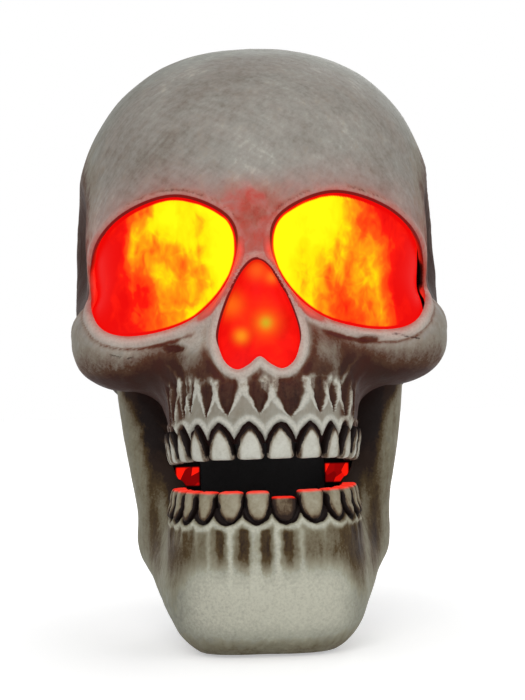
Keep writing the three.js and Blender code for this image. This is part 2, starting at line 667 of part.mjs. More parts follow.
function lampBoard() {
  const lamps = [];
  const middle = (bore + motor.radius) / 2;
  const face = motor.back - ledBoard.thickness;
  for (let i = 0; i < ledBoard.leds; i++) {
    const a = (2 * Math.PI * (i + 0.5)) / ledBoard.leds;
    lamps.push(rodY(ledBoard.led, face - ledBoard.led, motor.back - ledBoard.thickness / 2,
      middle * Math.cos(a), middle * Math.sin(a), small));
  }
  const disc = rodY(bore - fit, face, motor.back, 0, 0)
    .subtract(rodY(motor.radius + fit, 0, farOut, 0, 0));
  return together(disc, lamps);
}

function coolingPlate() {
  const start = motor.back + fit;
  const end = start + heatSink.thickness + heatSink.fin;
  const fins = [];
  for (let i = 0; i < heatSink.fins; i++) {
    const x = ((i + 0.5) / heatSink.fins - 0.5) * 2 * (bore - heatSink.finThickness);
    fins.push(block([x - heatSink.finThickness / 2, x + heatSink.finThickness / 2], [start, end], everywhere));
  }
  const drum = rodY(bore - fit, start, end, 0, 0);
  return together(rodY(bore - fit, start, start + heatSink.thickness, 0, 0), together(fins).intersect(drum));
}

function projectorCradle() {
  const bottom = plateTop + fit;
  const under = eyeLine - projector.radius;
  const depth = [cradle.front, cradle.front + cradle.depth];
  return block(centred(cradle.width), depth, [bottom, under + cradle.hug])
    .subtract(block(centred(cradle.width - 2 * cradle.wall), everywhere, [bottom - over, under - cradle.wall]))
    .subtract(rodY(projector.radius + fit, ...everywhere, 0, eyeLine, 2 * round))
    .subtract(rodZ(plate.cableHole, 0, eyeLine, 0, cradle.front + cradle.depth));
}

// Lamps of the nose and the mouth

function noseStand() {
  const y = noseBoard.y + noseBoard.thickness + fit;
  const bottom = plateTop + fit;
  const across = centred(noseBracket.width);
  return together(
    block(across, [y, y + noseBracket.thickness], [bottom, noseBoard.bottom + noseBoard.height]),
    block(across, [y, y + noseBracket.depth], [bottom, bottom + noseBracket.thickness]),
  );
}

const noseLampBoard = () => block(centred(noseBoard.width), [noseBoard.y, noseBoard.y + noseBoard.thickness],
  [noseBoard.bottom, noseBoard.bottom + noseBoard.height]);

function noseLamp([x, z]) {
  const base = noseBoard.y - fit;
  return turned([...dome(noseBoard.led, noseBoard.dome, base), [0, base]], small).translate([x, 0, z]);
}

function mouthLamp(side) {
  const x = (side * mouthLight.apart) / 2;
  return block([x - mouthLight.width / 2, x + mouthLight.width / 2],
    [mouthLight.front, mouthLight.front + mouthLight.depth], [columnTop - mouthLight.height, columnTop]);
}

function mouthSheet(side) {
  const x = column.width / 2 + fit;
  const height = [mouthPanel.bottom, mouthPanel.bottom + mouthPanel.height];
  const wing = together(
    block([x, x + mouthPanel.reach], [mouthPanel.front, mouthPanel.front + mouthPanel.thickness], height),
    block([x, x + mouthPanel.thickness], [mouthPanel.front, mouthPanel.front + mouthPanel.depth], height),
  );
  return side > 0 ? wing : wing.mirror([1, 0, 0]);
}

// Electrics in the column

function controlBoard() {
  const y = column.front + column.wall + board.standoff + fit;
  const holes = boardPegs.map(([x, z]) => rodY(peg.pin + fit, ...everywhere, x, z, small));
  return block(centred(board.width), [y, y + board.thickness], [board.bottom, boardTop])
    .subtract(together(holes));
}

const coverFace = columnBack + fit + cover.thickness;

function rearCover() {
  const holes = [
    ...coverScrews.map(([x, z]) => rodY(screw.shank + fit, ...everywhere, x, z, small)),
    rodY(jack.radius + fit, ...everywhere, jack.x, jack.z),
    block([rocker.x - switchBody.width / 2 - fit, rocker.x + switchBody.width / 2 + fit], everywhere,
      [rocker.z - switchBody.height / 2 - fit, rocker.z + switchBody.height / 2 + fit]),
  ];
  return block(centred(cover.width), [columnBack + fit, coverFace], [cover.bottom, coverTop])
    .subtract(together(holes));
}

function powerJack() {
  const seat = coverFace + fit;
  const end = seat + jack.lip;
  return together(
    rodY(jack.radius, seat - jack.length, end, 0, 0),
    rodY(jack.flange, seat, end, 0, 0),
  ).subtract(rodY(jackSocket.radius, end - jackSocket.depth, end + over, 0, 0, small))
    .add(rodY(jackSocket.pin, end - jackSocket.pinDepth, seat, 0, 0, small)).translate([jack.x, 0, jack.z]);
}

// The switch, round its rocker's axle
const axleY = coverFace + fit + switchBody.bezelThickness;

function powerSwitch() {
  const seat = coverFace + fit - axleY;
  const w = switchBody.width;
  const h = switchBody.height;
  const swingRadius = Math.hypot(rocker.height / 2, rocker.crest) + switchBody.play;
  return together(
    block(centred(w), [seat - switchBody.depth, 0], centred(h)),
    block(centred(w + 2 * switchBody.bezel), [seat, 0], centred(h + 2 * switchBody.bezel)),
  ).subtract(together(
    block(centred(rocker.width + 2 * switchBody.play), [-swingRadius, over], centred(2 * swingRadius)),
    rodX(rocker.axle + fit, ...centred(switchBody.pocket), 0, 0, small),
  ));
}

function switchRocker() {
  const h = rocker.height / 2;
  const outline = [
    [-rocker.crest, -h], [-2 * rocker.crest, 0], [-rocker.crest, h],
    [rocker.crest, h], [rocker.dip, 0], [rocker.crest, -h],
  ];
  return together(
    throughWidth(outline, ...centred(rocker.width)),
    rodX(rocker.axle, ...centred(rocker.axleLength), 0, 0, small),
  ).rotate([rocker.tilt, 0, 0]);
}

// Fastenings, head at the origin and shank along +Y

function bolt(head, headHeight, shank, length, count) {
  return turned([
    [0, -headHeight], [head, -headHeight], [head, 0], [shank, 0], [shank, length], [0, length],
  ], count);
}

const screwShape = (length) => bolt(screw.head, screw.headHeight, screw.shank, length, small);

// The assembly

const bone = { color: 0xb4b0a2, roughness: 0.62, metalness: 0 };
const black = { color: 0x141314, roughness: 0.55, metalness: 0 };
const steel = { color: 0xa8abad, roughness: 0.35, metalness: 1 };
const flame = { color: 0xff8a1c, roughness: 0.35, metalness: 0 };
const red = { color: 0xe02a16, roughness: 0.35, metalness: 0 };
const clear = { color: 0xdfe8ec, roughness: 0.08, metalness: 0 };
const circuit = { color: 0x1f5a34, roughness: 0.5, metalness: 0 };
const silver = { color: 0xb9bcbf, roughness: 0.4, metalness: 1 };
const bronze = { color: 0xb08a4a, roughness: 0.4, metalness: 1 };

function piece(group, name, form, finish) {
  const mesh = new THREE.Mesh(geometryOf(form), new THREE.MeshStandardMaterial(finish));
  mesh.name = name;
  group.add(mesh);
  return mesh;
}

function fasten(group, name, form, at, along, finish = steel) {
  const mesh = piece(group, name, form, finish);
  mesh.position.set(...at);
  mesh.quaternion.setFromUnitVectors(new THREE.Vector3(0, 1, 0), new THREE.Vector3(...along));
}

const group = new THREE.Group();

const skull = new THREE.Group();
piece(skull, "face_shell", faceShell(), bone);
piece(skull, "cranium_shell", craniumShell(), bone);
piece(skull, "eye_screen_left", eyeScreen(-1), flame);
piece(skull, "eye_screen_right", eyeScreen(1), flame);
piece(skull, "nose_screen", noseScreen(), red);
const seamScrew = screwShape(wall / 2 + seamScrews.tab);
seamTabs.forEach(({ at, side }, i) => fasten(skull, `seam_screw_${i + 1}`, seamScrew, at, [-side, 0, 0]));
group.add(skull);

const stand = new THREE.Group();
piece(stand, "foot_plate", footPlate(), black);
piece(stand, "stand_column", standColumn(), black);
piece(stand, "floor_plate", floorPlate(), steel);
const footScrew = screwShape(flange.thickness + foot.thickness / 2);
const plateScrew = screwShape(plate.thickness + flange.thickness + screw.past);
const postScrew = screwShape(plate.thickness + post.bite - screw.short);
flangeScrews.forEach(([x, y], i) => {
  fasten(stand, `foot_screw_${i + 1}`, footScrew, [x, y, columnBottom + flange.thickness + fit], [0, 0, -1]);
  fasten(stand, `plate_screw_${i + 1}`, plateScrew, [x, y, plateTop + fit], [0, 0, -1]);
});
posts.forEach(({ at }, i) =>
  fasten(stand, `post_screw_${i + 1}`, postScrew, [...at, plate.level - fit], [0, 0, 1]));
group.add(stand);

const lamp = new THREE.Group();
lamp.position.z = eyeLine;
piece(lamp, "projector_housing", projectorHousing(), black);
piece(lamp, "projector_lens", projectorLens(), clear);
piece(lamp, "effect_wheel", effectWheel(), silver);
piece(lamp, "wheel_motor", wheelMotor(), silver);
piece(lamp, "led_board", lampBoard(), circuit);
piece(lamp, "heat_sink", coolingPlate(), silver);
group.add(lamp);
piece(group, "projector_cradle", projectorCradle(), black);

piece(group, "nose_bracket", noseStand(), steel);
piece(group, "nose_led_board", noseLampBoard(), circuit);
noseSpots.forEach((spot, i) => piece(group, `nose_led_${i + 1}`, noseLamp(spot), flame));
for (const [name, side] of Object.entries(sides)) {
  piece(group, `mouth_light_${name}`, mouthLamp(side), red);
  piece(group, `mouth_panel_${name}`, mouthSheet(side), red);
}

const electrics = new THREE.Group();
piece(electrics, "control_board", controlBoard(), circuit);
piece(electrics, "rear_cover", rearCover(), black);
piece(electrics, "dc_jack", powerJack(), black);
const coverScrew = screwShape(cover.thickness + column.wall + screw.past);
coverScrews.forEach(([x, z], i) =>
  fasten(electrics, `cover_screw_${i + 1}`, coverScrew, [x, coverFace + fit, z], [0, -1, 0]));
const toggle = new THREE.Group();
toggle.position.set(rocker.x, axleY, rocker.z);
piece(toggle, "power_switch", powerSwitch(), black);
piece(toggle, "switch_rocker", switchRocker(), red);
electrics.add(toggle);
group.add(electrics);

const jaw = new THREE.Group();
piece(jaw, "jaw_shell", jawShell(), bone);
const pivotStart = plate.width / 2 - lug.thickness - fit;
const pivotLength = jawOuter + fit + pivotNut.height + pivotNut.tip - pivotStart;
const pivot = bolt(pivotHead.radius, pivotHead.height, hinge.pin, pivotLength, round);
const nut = rod(pivotNut.radius, 0, pivotNut.height, 6)
  .subtract(rod(hinge.pin + fit, -over, pivotNut.height + over, round));
for (const [name, side] of Object.entries(sides)) {
  const bush = side > 0 ? jawBush() : jawBush().mirror([1, 0, 0]);
  piece(jaw, `jaw_bush_${name}`, bush, bronze);
  fasten(group, `jaw_pivot_${name}`, pivot, [side * pivotStart, hinge.y, hinge.z], [side, 0, 0]);
  fasten(group, `pivot_nut_${name}`, nut, [side * (jawOuter + fit), hinge.y, hinge.z], [side, 0, 0]);
}
group.add(jaw);

export default group;
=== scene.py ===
import json
import math
from types import SimpleNamespace

import bmesh
import bpy
import numpy as np
from mathutils import Matrix, Vector, noise


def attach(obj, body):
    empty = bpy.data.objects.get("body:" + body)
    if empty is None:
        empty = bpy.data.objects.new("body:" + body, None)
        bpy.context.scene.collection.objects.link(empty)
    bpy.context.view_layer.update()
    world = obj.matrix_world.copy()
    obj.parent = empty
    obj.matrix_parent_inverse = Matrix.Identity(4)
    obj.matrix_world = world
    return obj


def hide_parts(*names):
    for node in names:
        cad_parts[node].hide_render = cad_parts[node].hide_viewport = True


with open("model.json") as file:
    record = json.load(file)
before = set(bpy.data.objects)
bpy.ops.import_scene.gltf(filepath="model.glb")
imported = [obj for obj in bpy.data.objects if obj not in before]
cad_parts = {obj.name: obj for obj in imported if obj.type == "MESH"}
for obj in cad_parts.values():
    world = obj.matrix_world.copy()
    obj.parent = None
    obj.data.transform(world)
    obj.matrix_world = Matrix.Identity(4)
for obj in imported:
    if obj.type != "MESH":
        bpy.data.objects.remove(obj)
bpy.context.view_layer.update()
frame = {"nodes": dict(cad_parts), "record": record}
scene = bpy.context.scene
scene.view_settings.view_transform = "Standard"
print("frame loaded,", len(frame["nodes"]), "nodes")

# the camera, set from the photograph's own perspective, in metres and degrees
photoCamera = {"plane": -0.15, "away": 1.7, "height": 0.301, "yaw": -0.8, "roll": -1.6, "shift": 2 / 700,
               "sensor": 36, "view": 0.7}


def makeCamera(v):
    data = bpy.data.cameras.new("photoCamera")
    data.sensor_fit = "AUTO"
    data.sensor_width = v["sensor"]
    data.lens = v["sensor"] * v["away"] / v["view"]
    data.shift_x = v["shift"]
    camera = bpy.data.objects.new("photoCamera", data)
    scene.collection.objects.link(camera)
    yaw = math.radians(v["yaw"])
    turn = Matrix.Rotation(yaw, 4, "Z") @ Matrix.Rotation(math.pi / 2, 4, "X")
    turn = turn @ Matrix.Rotation(math.radians(v["roll"]), 4, "Z")
    place = Vector((math.sin(yaw) * v["away"], v["plane"] - math.cos(yaw) * v["away"], v["height"]))
    camera.matrix_world = Matrix.Translation(place) @ turn
    scene.camera = camera


makeCamera(photoCamera)

# all sculpting below is in millimetres, and goes to metres when a piece is finished
wall = 6.0
fit = 0.3
crown = 628.0
eyeLine = 385.0
cheekLine = 312.0
biteLine = 197.0
jawDrop = 33.0
archCentre = -130.0
gumUpper = 213.0
gumLower = 149.0
gumSlope = 0.11
toothInset = 4.7
sharpAngle = 50.0  # in degrees
openingReach = 45.0  # how far off openings, teeth and side profiles are measured
toothReach = 30.0
profileReach = 800.0


def lobe(p, middle, half, power=2.0):
    q = np.abs(p - middle) / half
    k = np.maximum((q ** power).sum(1), 1e-12) ** (1 / power)
    slope = np.sqrt((((q / k[:, None]) ** (power - 1) / half) ** 2).sum(1))
    return (k - 1) / np.maximum(slope, 1e-9)


def bar(p, start, end, radius):
    along = np.subtract(end, start)
    t = np.clip(((p - start) @ along) / (along @ along), 0, 1)
    return np.linalg.norm(p - start - t[:, None] * along, axis=1) - radius


def blend(a, b, length):
    h = np.maximum(length - np.abs(a - b), 0) / length
    return np.minimum(a, b) - h * h * length / 4


def carve(a, b, length):
    return -blend(-a, b, length)


def mirrored(p):
    return np.c_[np.abs(p[:, 0]), p[:, 1], p[:, 2]]


def skullForm(points):
    p = mirrored(points)
    upright = np.where(p[:, 2] < eyeLine, 190.0, crown - eyeLine)
    level = np.full(len(p), 200.0)
    d = lobe(p, (0, 45, eyeLine), np.c_[level, level, upright], 2.4)
    d = blend(d, lobe(p, (0, -39, 455), (168, 160, 150), 2.2), 44)
    d = blend(d, lobe(p, (0, -96, 399), (167, 108, 100), 2.6), 30)
    d = blend(d, lobe(p, (129, -117, cheekLine), (62, 66, 50), 2.2), 26)
    d = blend(d, bar(p, (170, -90, cheekLine + 12), (170, 40, cheekLine + 26), 22), 16)
    d = blend(d, lobe(p, (0, -129, biteLine + 54), (96, 104, 90), 2.6), 34)
    d = blend(d, lobe(p, (0, -151, eyeLine - 42), (52, 80, 75), 2.0), 26)
    d = carve(d, lobe(p, (210, -35, 418), (38, 82.5, 78)), 12)  # the temple
    return carve(d, lobe(p, (93, -238, 262), (31, 30, 48)), 26)


# half width of the jaw's branches, which lean out as they rise
def branchSide(z):
    return 130.5 + 0.14 * (z - 91)


def jawForm(points):
    p = mirrored(points)
    d = lobe(p, (0, -106, biteLine - jawDrop - 60), (99, 112, 75), 3.0)
    d = blend(d, lobe(p, (0, -126, 49), (75, 88, 55), 2.5), 30)
    d = blend(d, bar(p, (53, -154, 44), (95, -20, 93), 36), 40)
    leaning = p.copy()
    leaning[:, 0] -= branchSide(p[:, 2])
    return blend(d, lobe(leaning, (-36, -7, 210), (36, 65, 125), 3.0), 34)


def slopeOf(form, p, step=0.4):
    g = np.empty_like(p)
    for i in range(3):
        side = np.zeros(3)
        side[i] = step
        g[:, i] = (form(p + side) - form(p - side)) / (2 * step)
    return g


# distance along each ray to a form's skin, coming in from outside
def reach(form, middle, rays, inset=0.0):
    r = np.full(len(rays), 420.0)
    moving = np.arange(len(rays))
    for turn in range(90):
        d = form(rays[moving] * r[moving][:, None] + middle) + inset
        r[moving] -= 0.85 * d
        moving = moving[np.abs(d) > 0.02]
        if len(moving) == 0:
            break
    return r


def ontoForm(form, p, inset=0.0, times=2):
    for turn in range(times):
        d = form(p) + inset
        g = slopeOf(form, p)
        p = p - g * (np.clip(d, -6, 6) / np.maximum((g * g).sum(1), 0.05))[:, None]
    return p


def ease(low, high, x):
    t = np.clip((x - low) / (high - low), 0, 1)
    return t * t * (3 - 2 * t)


def hump(x, middle, spread):
    return np.exp(-(((x - middle) / spread) ** 2))


# outlines of the openings, in x and z
def closedCurve(points, per=16):
    pts = np.array(points)
    t = np.linspace(0, 1, per, endpoint=False)[:, None]
    out = []
    for i in range(len(pts)):
        a, b, c, d = (pts[(i + k) % len(pts)] for k in (-1, 0, 1, 2))
        out.append(0.5 * (2 * b + (c - a) * t + (2 * a - 5 * b + 4 * c - d) * t ** 2
                          + (3 * b - a - 3 * c + d) * t ** 3))
    return np.vstack(out)


eyeOpening = {"left": (97, 151), "right": (92, 158), "height": 134, "points": [
    (-1, 0.24), (-0.85, 0.71), (-0.23, 1), (0.44, 0.79), (0.885, 0.32),
    (1, -0.22), (0.82, -0.84), (0.355, -1), (-0.36, -0.8), (-0.83, -0.33)]}
noseOpening = {"floor": 283, "width": 80, "height": 105, "aside": -2, "notch": 0.115, "points": [
    (0.21, 0.962), (0.46, 0.838), (0.735, 0.629), (0.93, 0.42),
    (0.985, 0.26), (0.9, 0.12), (0.74, 0.035), (0.52, 0), (0.26, 0.045)]}


def eyeOutline(side, grow=0.0):
    v = eyeOpening
    middle, width = v["left"] if side < 0 else v["right"]
    return closedCurve([(side * (middle + a * (width / 2 + grow)), eyeLine + b * (v["height"] / 2 + grow))
                        for a, b in v["points"]])


def noseOutline(grow=0.0):
    v = noseOpening

    def at(a, b):
        return v["aside"] + a * (v["width"] / 2 + grow), v["floor"] - grow + b * (v["height"] + 2 * grow)

    right = [at(a, b) for a, b in v["points"]]
    left = [at(-a, b) for a, b in reversed(v["points"])]
    return closedCurve([at(0, 1)] + right + [at(0, v["notch"])] + left, 8)


# signed distance to a closed outline, positive outside, worked out only near it
def outlineDistance(q, outline, near=openingReach):
    out = np.full(len(q), near)
    low, high = outline.min(0) - near, outline.max(0) + near
    chosen = np.nonzero(((q > low) & (q < high)).all(1))[0]
    a, b = outline, np.roll(outline, -1, axis=0)
    ab = b - a
    for part in np.array_split(chosen, max(1, len(chosen) // 3000)):
        s = q[part][:, None, :]
        t = np.clip(((s - a) * ab).sum(2) / np.maximum((ab * ab).sum(1), 1e-9), 0, 1)
        gap = np.sqrt(((s - a - t[:, :, None] * ab) ** 2).sum(2)).min(1)
        crossing = ((a[:, 1] > s[:, :, 1]) != (b[:, 1] > s[:, :, 1]))
        rise = np.where(np.abs(ab[:, 1]) < 1e-9, 1e-9, ab[:, 1])
        hits = crossing & (s[:, :, 0] < a[:, 0] + (s[:, :, 1] - a[:, 1]) / rise * ab[:, 0])
        inside = hits.sum(1) % 2 == 1
        out[part] = np.minimum(np.where(inside, -gap, gap), near)
    return out


# the same as seen from the front
def gapTo(p, outline):
    return outlineDistance(p[:, [0, 2]], outline)


def eyeGap(p, side):
    return gapTo(p, eyeOutline(side))


def eyesGap(p):
    return np.minimum(eyeGap(p, -1), eyeGap(p, 1))


def noseGap(p):
    return gapTo(p, noseOutline())


def coords(bm):
    return np.array([v.co[:] for v in bm.verts])


def place(bm, p):
    for v, c in zip(bm.verts, p):
        v.co = c
    bm.normal_update()


# a ball with its pole on the face, drawn out onto a form and evened along it
def moulded(form, middle, around, rings, crowd, inset=0.0, evening=4):
    bm = bmesh.new()
    bmesh.ops.create_uvsphere(bm, u_segments=around, v_segments=rings, radius=1)
    bmesh.ops.rotate(bm, verts=bm.verts, cent=(0, 0, 0), matrix=Matrix.Rotation(math.pi / 2, 3, "X"))
    rays = coords(bm)
    polar = np.arccos(np.clip(rays[:, 1], -1, 1)) / math.pi  # 1 at the face
    angle = math.pi * (1 - (1 - polar) ** crowd)
    spin = np.arctan2(rays[:, 2], rays[:, 0])
    rays = np.c_[np.sin(angle) * np.cos(spin), np.cos(angle), np.sin(angle) * np.sin(spin)]
    p = rays * reach(form, middle, rays, inset)[:, None] + middle
    edges = np.array([[v.index for v in e.verts] for e in bm.edges])
    for turn in range(evening):
        total = np.zeros_like(p)
        count = np.zeros(len(p))
        for a, b in ((0, 1), (1, 0)):
            np.add.at(total, edges[:, a], p[edges[:, b]])
            np.add.at(count, edges[:, a], 1)
        p = ontoForm(form, p + 0.5 * (total / count[:, None] - p), inset, 1)
    place(bm, ontoForm(form, p, inset))
    return bm


# finer faces where the carving needs them
def refine(bm, form, wanted, inset=0.0):
    centres = np.array([f.calc_center_median()[:] for f in bm.faces])
    chosen = wanted(centres)
    edges = {e for f, yes in zip(bm.faces, chosen) if yes for e in f.edges}
    bmesh.ops.subdivide_edges(bm, edges=list(edges), cuts=1, use_grid_fill=True)
    place(bm, ontoForm(form, coords(bm), inset))


# keeps the part of a surface where a field is positive, with a clean edge along its zero
def cutAway(bm, keep):
    values = dict(zip(bm.verts, (float(v) for v in keep(coords(bm)))))

    def outside(f):
        around = [values[v] for v in f.verts]
        return min(around) < 0 or not any(around) and keep(np.array([f.calc_center_median()[:]]))[0] < 0

    for e in bm.edges:
        a, b = e.verts
        fa, fb = values[a], values[b]
        if fa * fb < 0:
            t = fa / (fa - fb)
            if t < 0.25:
                a.co = a.co.lerp(b.co, t)
                values[a] = 0.0
            elif t > 0.75:
                b.co = b.co.lerp(a.co, 1 - t)
                values[b] = 0.0
    for e in [e for e in bm.edges if values[e.verts[0]] * values[e.verts[1]] < 0]:
        a, b = e.verts
        values[bmesh.utils.edge_split(e, a, values[a] / (values[a] - values[b]))[1]] = 0.0
    bmesh.ops.connect_verts(bm, verts=[v for v in bm.verts if values[v] == 0.0])
    bmesh.ops.delete(bm, geom=[f for f in bm.faces if outside(f)], context="FACES")
    bmesh.ops.delete(bm, geom=[v for v in bm.verts if not v.link_faces], context="VERTS")


def largestPart(bm):
    left = set(bm.faces)
    best = set()
    while left:
        part, edge = set(), [left.pop()]
        while edge:
            face = edge.pop()
            part.add(face)
            near = {f for e in face.edges for f in e.link_faces} & left
            left -= near
            edge.extend(near)
        best = max(best, part, key=len)
    bmesh.ops.delete(bm, geom=[f for f in bm.faces if f not in best], context="FACES")


def paint(bm, marks):
    for name, values in marks.items():
        layer = bm.verts.layers.float.get(name) or bm.verts.layers.float.new(name)
        for v, value in zip(bm.verts, values):
            v[layer] = float(value)


# gives a surface its wall, inwards, with the inner side marked
def thicken(bm, thickness, innerMarks):
    bmesh.ops.recalc_face_normals(bm, faces=bm.faces)
    made = bmesh.ops.solidify(bm, geom=list(bm.faces), thickness=thickness)
    inner = {v for g in made["geom"] if isinstance(g, bmesh.types.BMFace) for v in g.verts}
    inner = sorted(inner, key=lambda v: v.co[:])
    p = np.array([v.co[:] for v in inner])
    for name, value in innerMarks.items():
        layer = bm.verts.layers.float[name]
        for v, mark in zip(inner, value(p) if callable(value) else [value] * len(p)):
            v[layer] = float(mark)


def finishPiece(bm, name, material, body, node):
    bmesh.ops.scale(bm, vec=(0.001, 0.001, 0.001), verts=bm.verts)
    mesh = bpy.data.meshes.new(name)
    bm.to_mesh(mesh)
    bm.free()
    for polygon in mesh.polygons:
        polygon.use_smooth = True
    mesh.set_sharp_from_angle(angle=math.radians(sharpAngle))
    mesh.materials.append(material)
    piece = bpy.data.objects.new(name, mesh)
    scene.collection.objects.link(piece)
    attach(piece, body)
    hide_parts(node)
    print(name, len(mesh.polygons), "faces")


# side profiles, in y and z
def insideProfile(profile):
    outline = np.array(profile)
    return lambda p: -outlineDistance(p[:, 1:3], outline, profileReach)


far = 700.0
skullProfile = [(-far, gumUpper), (-233, gumUpper), (-130, gumUpper - 15.5), (-92, 264), (70, 264),
                (88, 236), (far, 236), (far, 1300), (-far, 1300)]
hinge = {"y": 25, "z": 275, "boss": 24, "poses": (0, 3.5, 7), "room": 4, "inside": 119.5, "outside": 166}
throat = {"half": 82, "wide": 123.5, "front": -100, "flare": (-80, -50), "floor": 104}


# a branch of the jaw, round at the hinge
def branchProfile(grow, bottom):
    radius = hinge["boss"] + grow
    turns = [math.pi * i / 16 for i in range(17)]
    arc = [(hinge["y"] + radius * math.cos(a), hinge["z"] + radius * math.sin(a)) for a in turns]
    front = -88 - grow
    return [(hinge["y"] + radius, bottom)] + arc + [(-45, 272 + grow), (front, 261 + grow), (front, bottom)]


jawProfile = [(-far, 3), (-108, 3), (20, 75), (34, 117), (45, 203)] + branchProfile(0, gumLower)[1:-1] + [
    (-90, 155), (-110, gumLower), (-far, gumLower)]


# room for the jaw's branches at rest, half shut and shut
def outsideJawRoom(p):
    out = np.full(len(p), 900.0)
    outline = np.array(branchProfile(hinge["room"], gumLower))
    y, z = p[:, 1] - hinge["y"], p[:, 2] - hinge["z"]
    slab = np.maximum(hinge["inside"] - np.abs(p[:, 0]), np.abs(p[:, 0]) - hinge["outside"])
    for degrees in hinge["poses"]:
        c, s = math.cos(math.radians(degrees)), math.sin(math.radians(degrees))
        turned = np.c_[hinge["y"] + y * c - z * s, hinge["z"] + y * s + z * c]
        out = np.minimum(out, np.maximum(outlineDistance(turned, outline, profileReach), slab))
    return out


def outsideThroat(p):
    v = throat
    x, y, z = mirrored(p).T
    low = np.maximum(x - v["half"], v["front"] - y)
    flare = np.interp(y, v["flare"], (v["half"], v["wide"]))
    high = np.maximum(np.maximum(x - flare, v["front"] - y), v["floor"] - z)
    return np.minimum(low, high)


# a tooth row: arc length along the gum against the angle round the arch's centre
def toothRow(form, level, slope):
    angles = np.linspace(-2.1, 2.1, 421)
    rays = np.c_[np.sin(angles), -np.cos(angles), np.zeros_like(angles)]
    r = reach(form, (0, archCentre, level), rays, toothInset)
    x, y = np.sin(angles) * r, archCentre - np.cos(angles) * r
    steps = np.concatenate([[0], np.cumsum(np.hypot(np.diff(x), np.diff(y)))])
    middle = len(angles) // 2
    return {"form": form, "angles": angles, "arc": steps - steps[middle], "x": x, "y": y,
            "level": level, "slope": slope, "front": y[middle]}


# how far the gum leans out at heights over and under its row
def rowLean(row, u, heights):
    a = np.interp(u, row["arc"], row["angles"])
    ray = np.array([[math.sin(a), -math.cos(a), 0.0]])
    r = np.array([reach(row["form"], (0, archCentre, row["level"] + h), ray)[0] for h in heights])
    return r - np.interp(0, heights, r)


def toothPlaces(teeth):
    places = []
    for side in (-1, 1):
        walked = 0.0
        for w in teeth["widths"]:
            places.append((teeth["middle"] + side * (walked + w / 2), w))
            walked += w
    return places


# half width of a tooth at a height, from 1 at the biting edge to 0 at the root
def upperArch(v):
    return np.clip(1 - ((v + 1) / 2) ** 2.3, 0, 1) ** 0.8


def lowerArch(v):
    return np.clip(1 - ((1 - v) / 2) ** 3.2, 0, 1) ** 0.6


upperTeeth = {"widths": [28, 26, 20, 18, 17, 16, 15], "middle": 1.0, "gap": 0.9, "height": 32, "rise": 0.0,
              "thickness": 15, "out": 1.5, "follow": 0.3, "line": 2.2, "chipped": math.inf, "pale": 0.65}
lowerTeeth = dict(upperTeeth, widths=[25, 26, 19, 17, 16, 15, 14], middle=5.0, gap=0.8, height=29, rise=1.0,
                  follow=0.12, chipped=17.5, pale=0.12)
upperRow = toothRow(skullForm, gumUpper, gumSlope)
lowerRow = toothRow(jawForm, gumLower, 0.0)


# the place along a row, the height, and the distance from the nearest tooth
def socketDistance(row, teeth, arch, p):
    x, y, z = p.T
    u = np.interp(np.arctan2(x, archCentre - y), row["angles"], row["arc"])
    h = z + row["slope"] * (y - row["front"])
    d = np.full(len(p), toothReach)
    v = np.linspace(-1, 1, 21)
    up = row["level"] + teeth["rise"] + v * teeth["height"] / 2
    for middle, width in toothPlaces(teeth):
        half = arch(v) * (width - teeth["gap"]) / 2
        sides = [np.c_[middle + half, up], np.c_[middle - half, up][::-1]]
        d = np.minimum(d, outlineDistance(np.c_[u, h], np.vstack(sides), toothReach))
    return u - teeth["middle"], h, d


def roughness(p, scale, seed):
    return np.array([noise.fractal(Vector(c), 1.0, 2.0, 3) for c in p * scale + (seed, 0, 0)])


# how deeply a point sits in a hollow of the skull and jaw together; the paint darkens there as painted
# shade, and the jaw under the cheek as painted shadow
def paintedOcclusion(p, n, step):
    q = p + n * step
    return np.clip(1 - np.minimum(skullForm(q), jawForm(q)) / step, 0, 1)


# how far to move each point of a surface, and how to paint it there
def blankMarks(count):
    return SimpleNamespace(**{name: np.zeros(count) for name in ("move", "wash", "soot", "pale", "glow")})


# makes marks stronger where they are weaker than these
def deepen(m, **marks):
    for name, value in marks.items():
        setattr(m, name, np.maximum(getattr(m, name), value))


# carving of the upper face: rims, hollows, root pits and tooth sockets
skullCarving = {
    "eyeRim": 2.0, "noseRim": 2.6, "pitDepth": 3.4, "socketDepth": 2.4, "gumEdge": 1.6, "lumps": 0.9,
    # along the row, half width at the top, top level, lower tip
    "pits": [(-4, 9, 274, 240), (23, 13.5, 276, 236), (-33, 9, 275, 239), (-53, 6.5, 273, 238),
             (52, 9, 277, 240), (-73, 4, 275, 243), (-81, 4, 276, 240), (69, 5.5, 272, 241),
             (86, 7, 273, 236), (-97, 5, 276, 232), (101, 4, 268, 230), (-109, 4, 270, 228)],
    # x, z, half length, half height, depth
    "spots": [(-86, 305, 13, 4.2, 4.0), (106, 309, 13, 4.0, 3.6)],
    "scratches": [(-133, 299, 26, 1.6), (143, 311, 20, 1.8)],
}


# the fields that the carving and painting of the upper face are worked out from
def skullFields(p):
    x, y, z = p.T
    front = y < -30
    u, h, sockets = socketDistance(upperRow, upperTeeth, upperArch, p)
    dental = front & (z < 300)
    ragged = roughness(p, 0.16, 5)
    gum = ease(286, 266, h + 5 * ragged) * ease(104, 88, np.abs(u)) * ease(-90, -110, y)
    return SimpleNamespace(
        x=x, y=y, z=z, wide=np.abs(x), front=front, u=u, h=h, dental=dental, ragged=ragged, gum=gum,
        eyes=np.where(front, eyesGap(p), openingReach) + 40 * ease(-110, -60, y),
        nose=np.where(front, noseGap(p), openingReach), sockets=np.where(dental, sockets, toothReach))


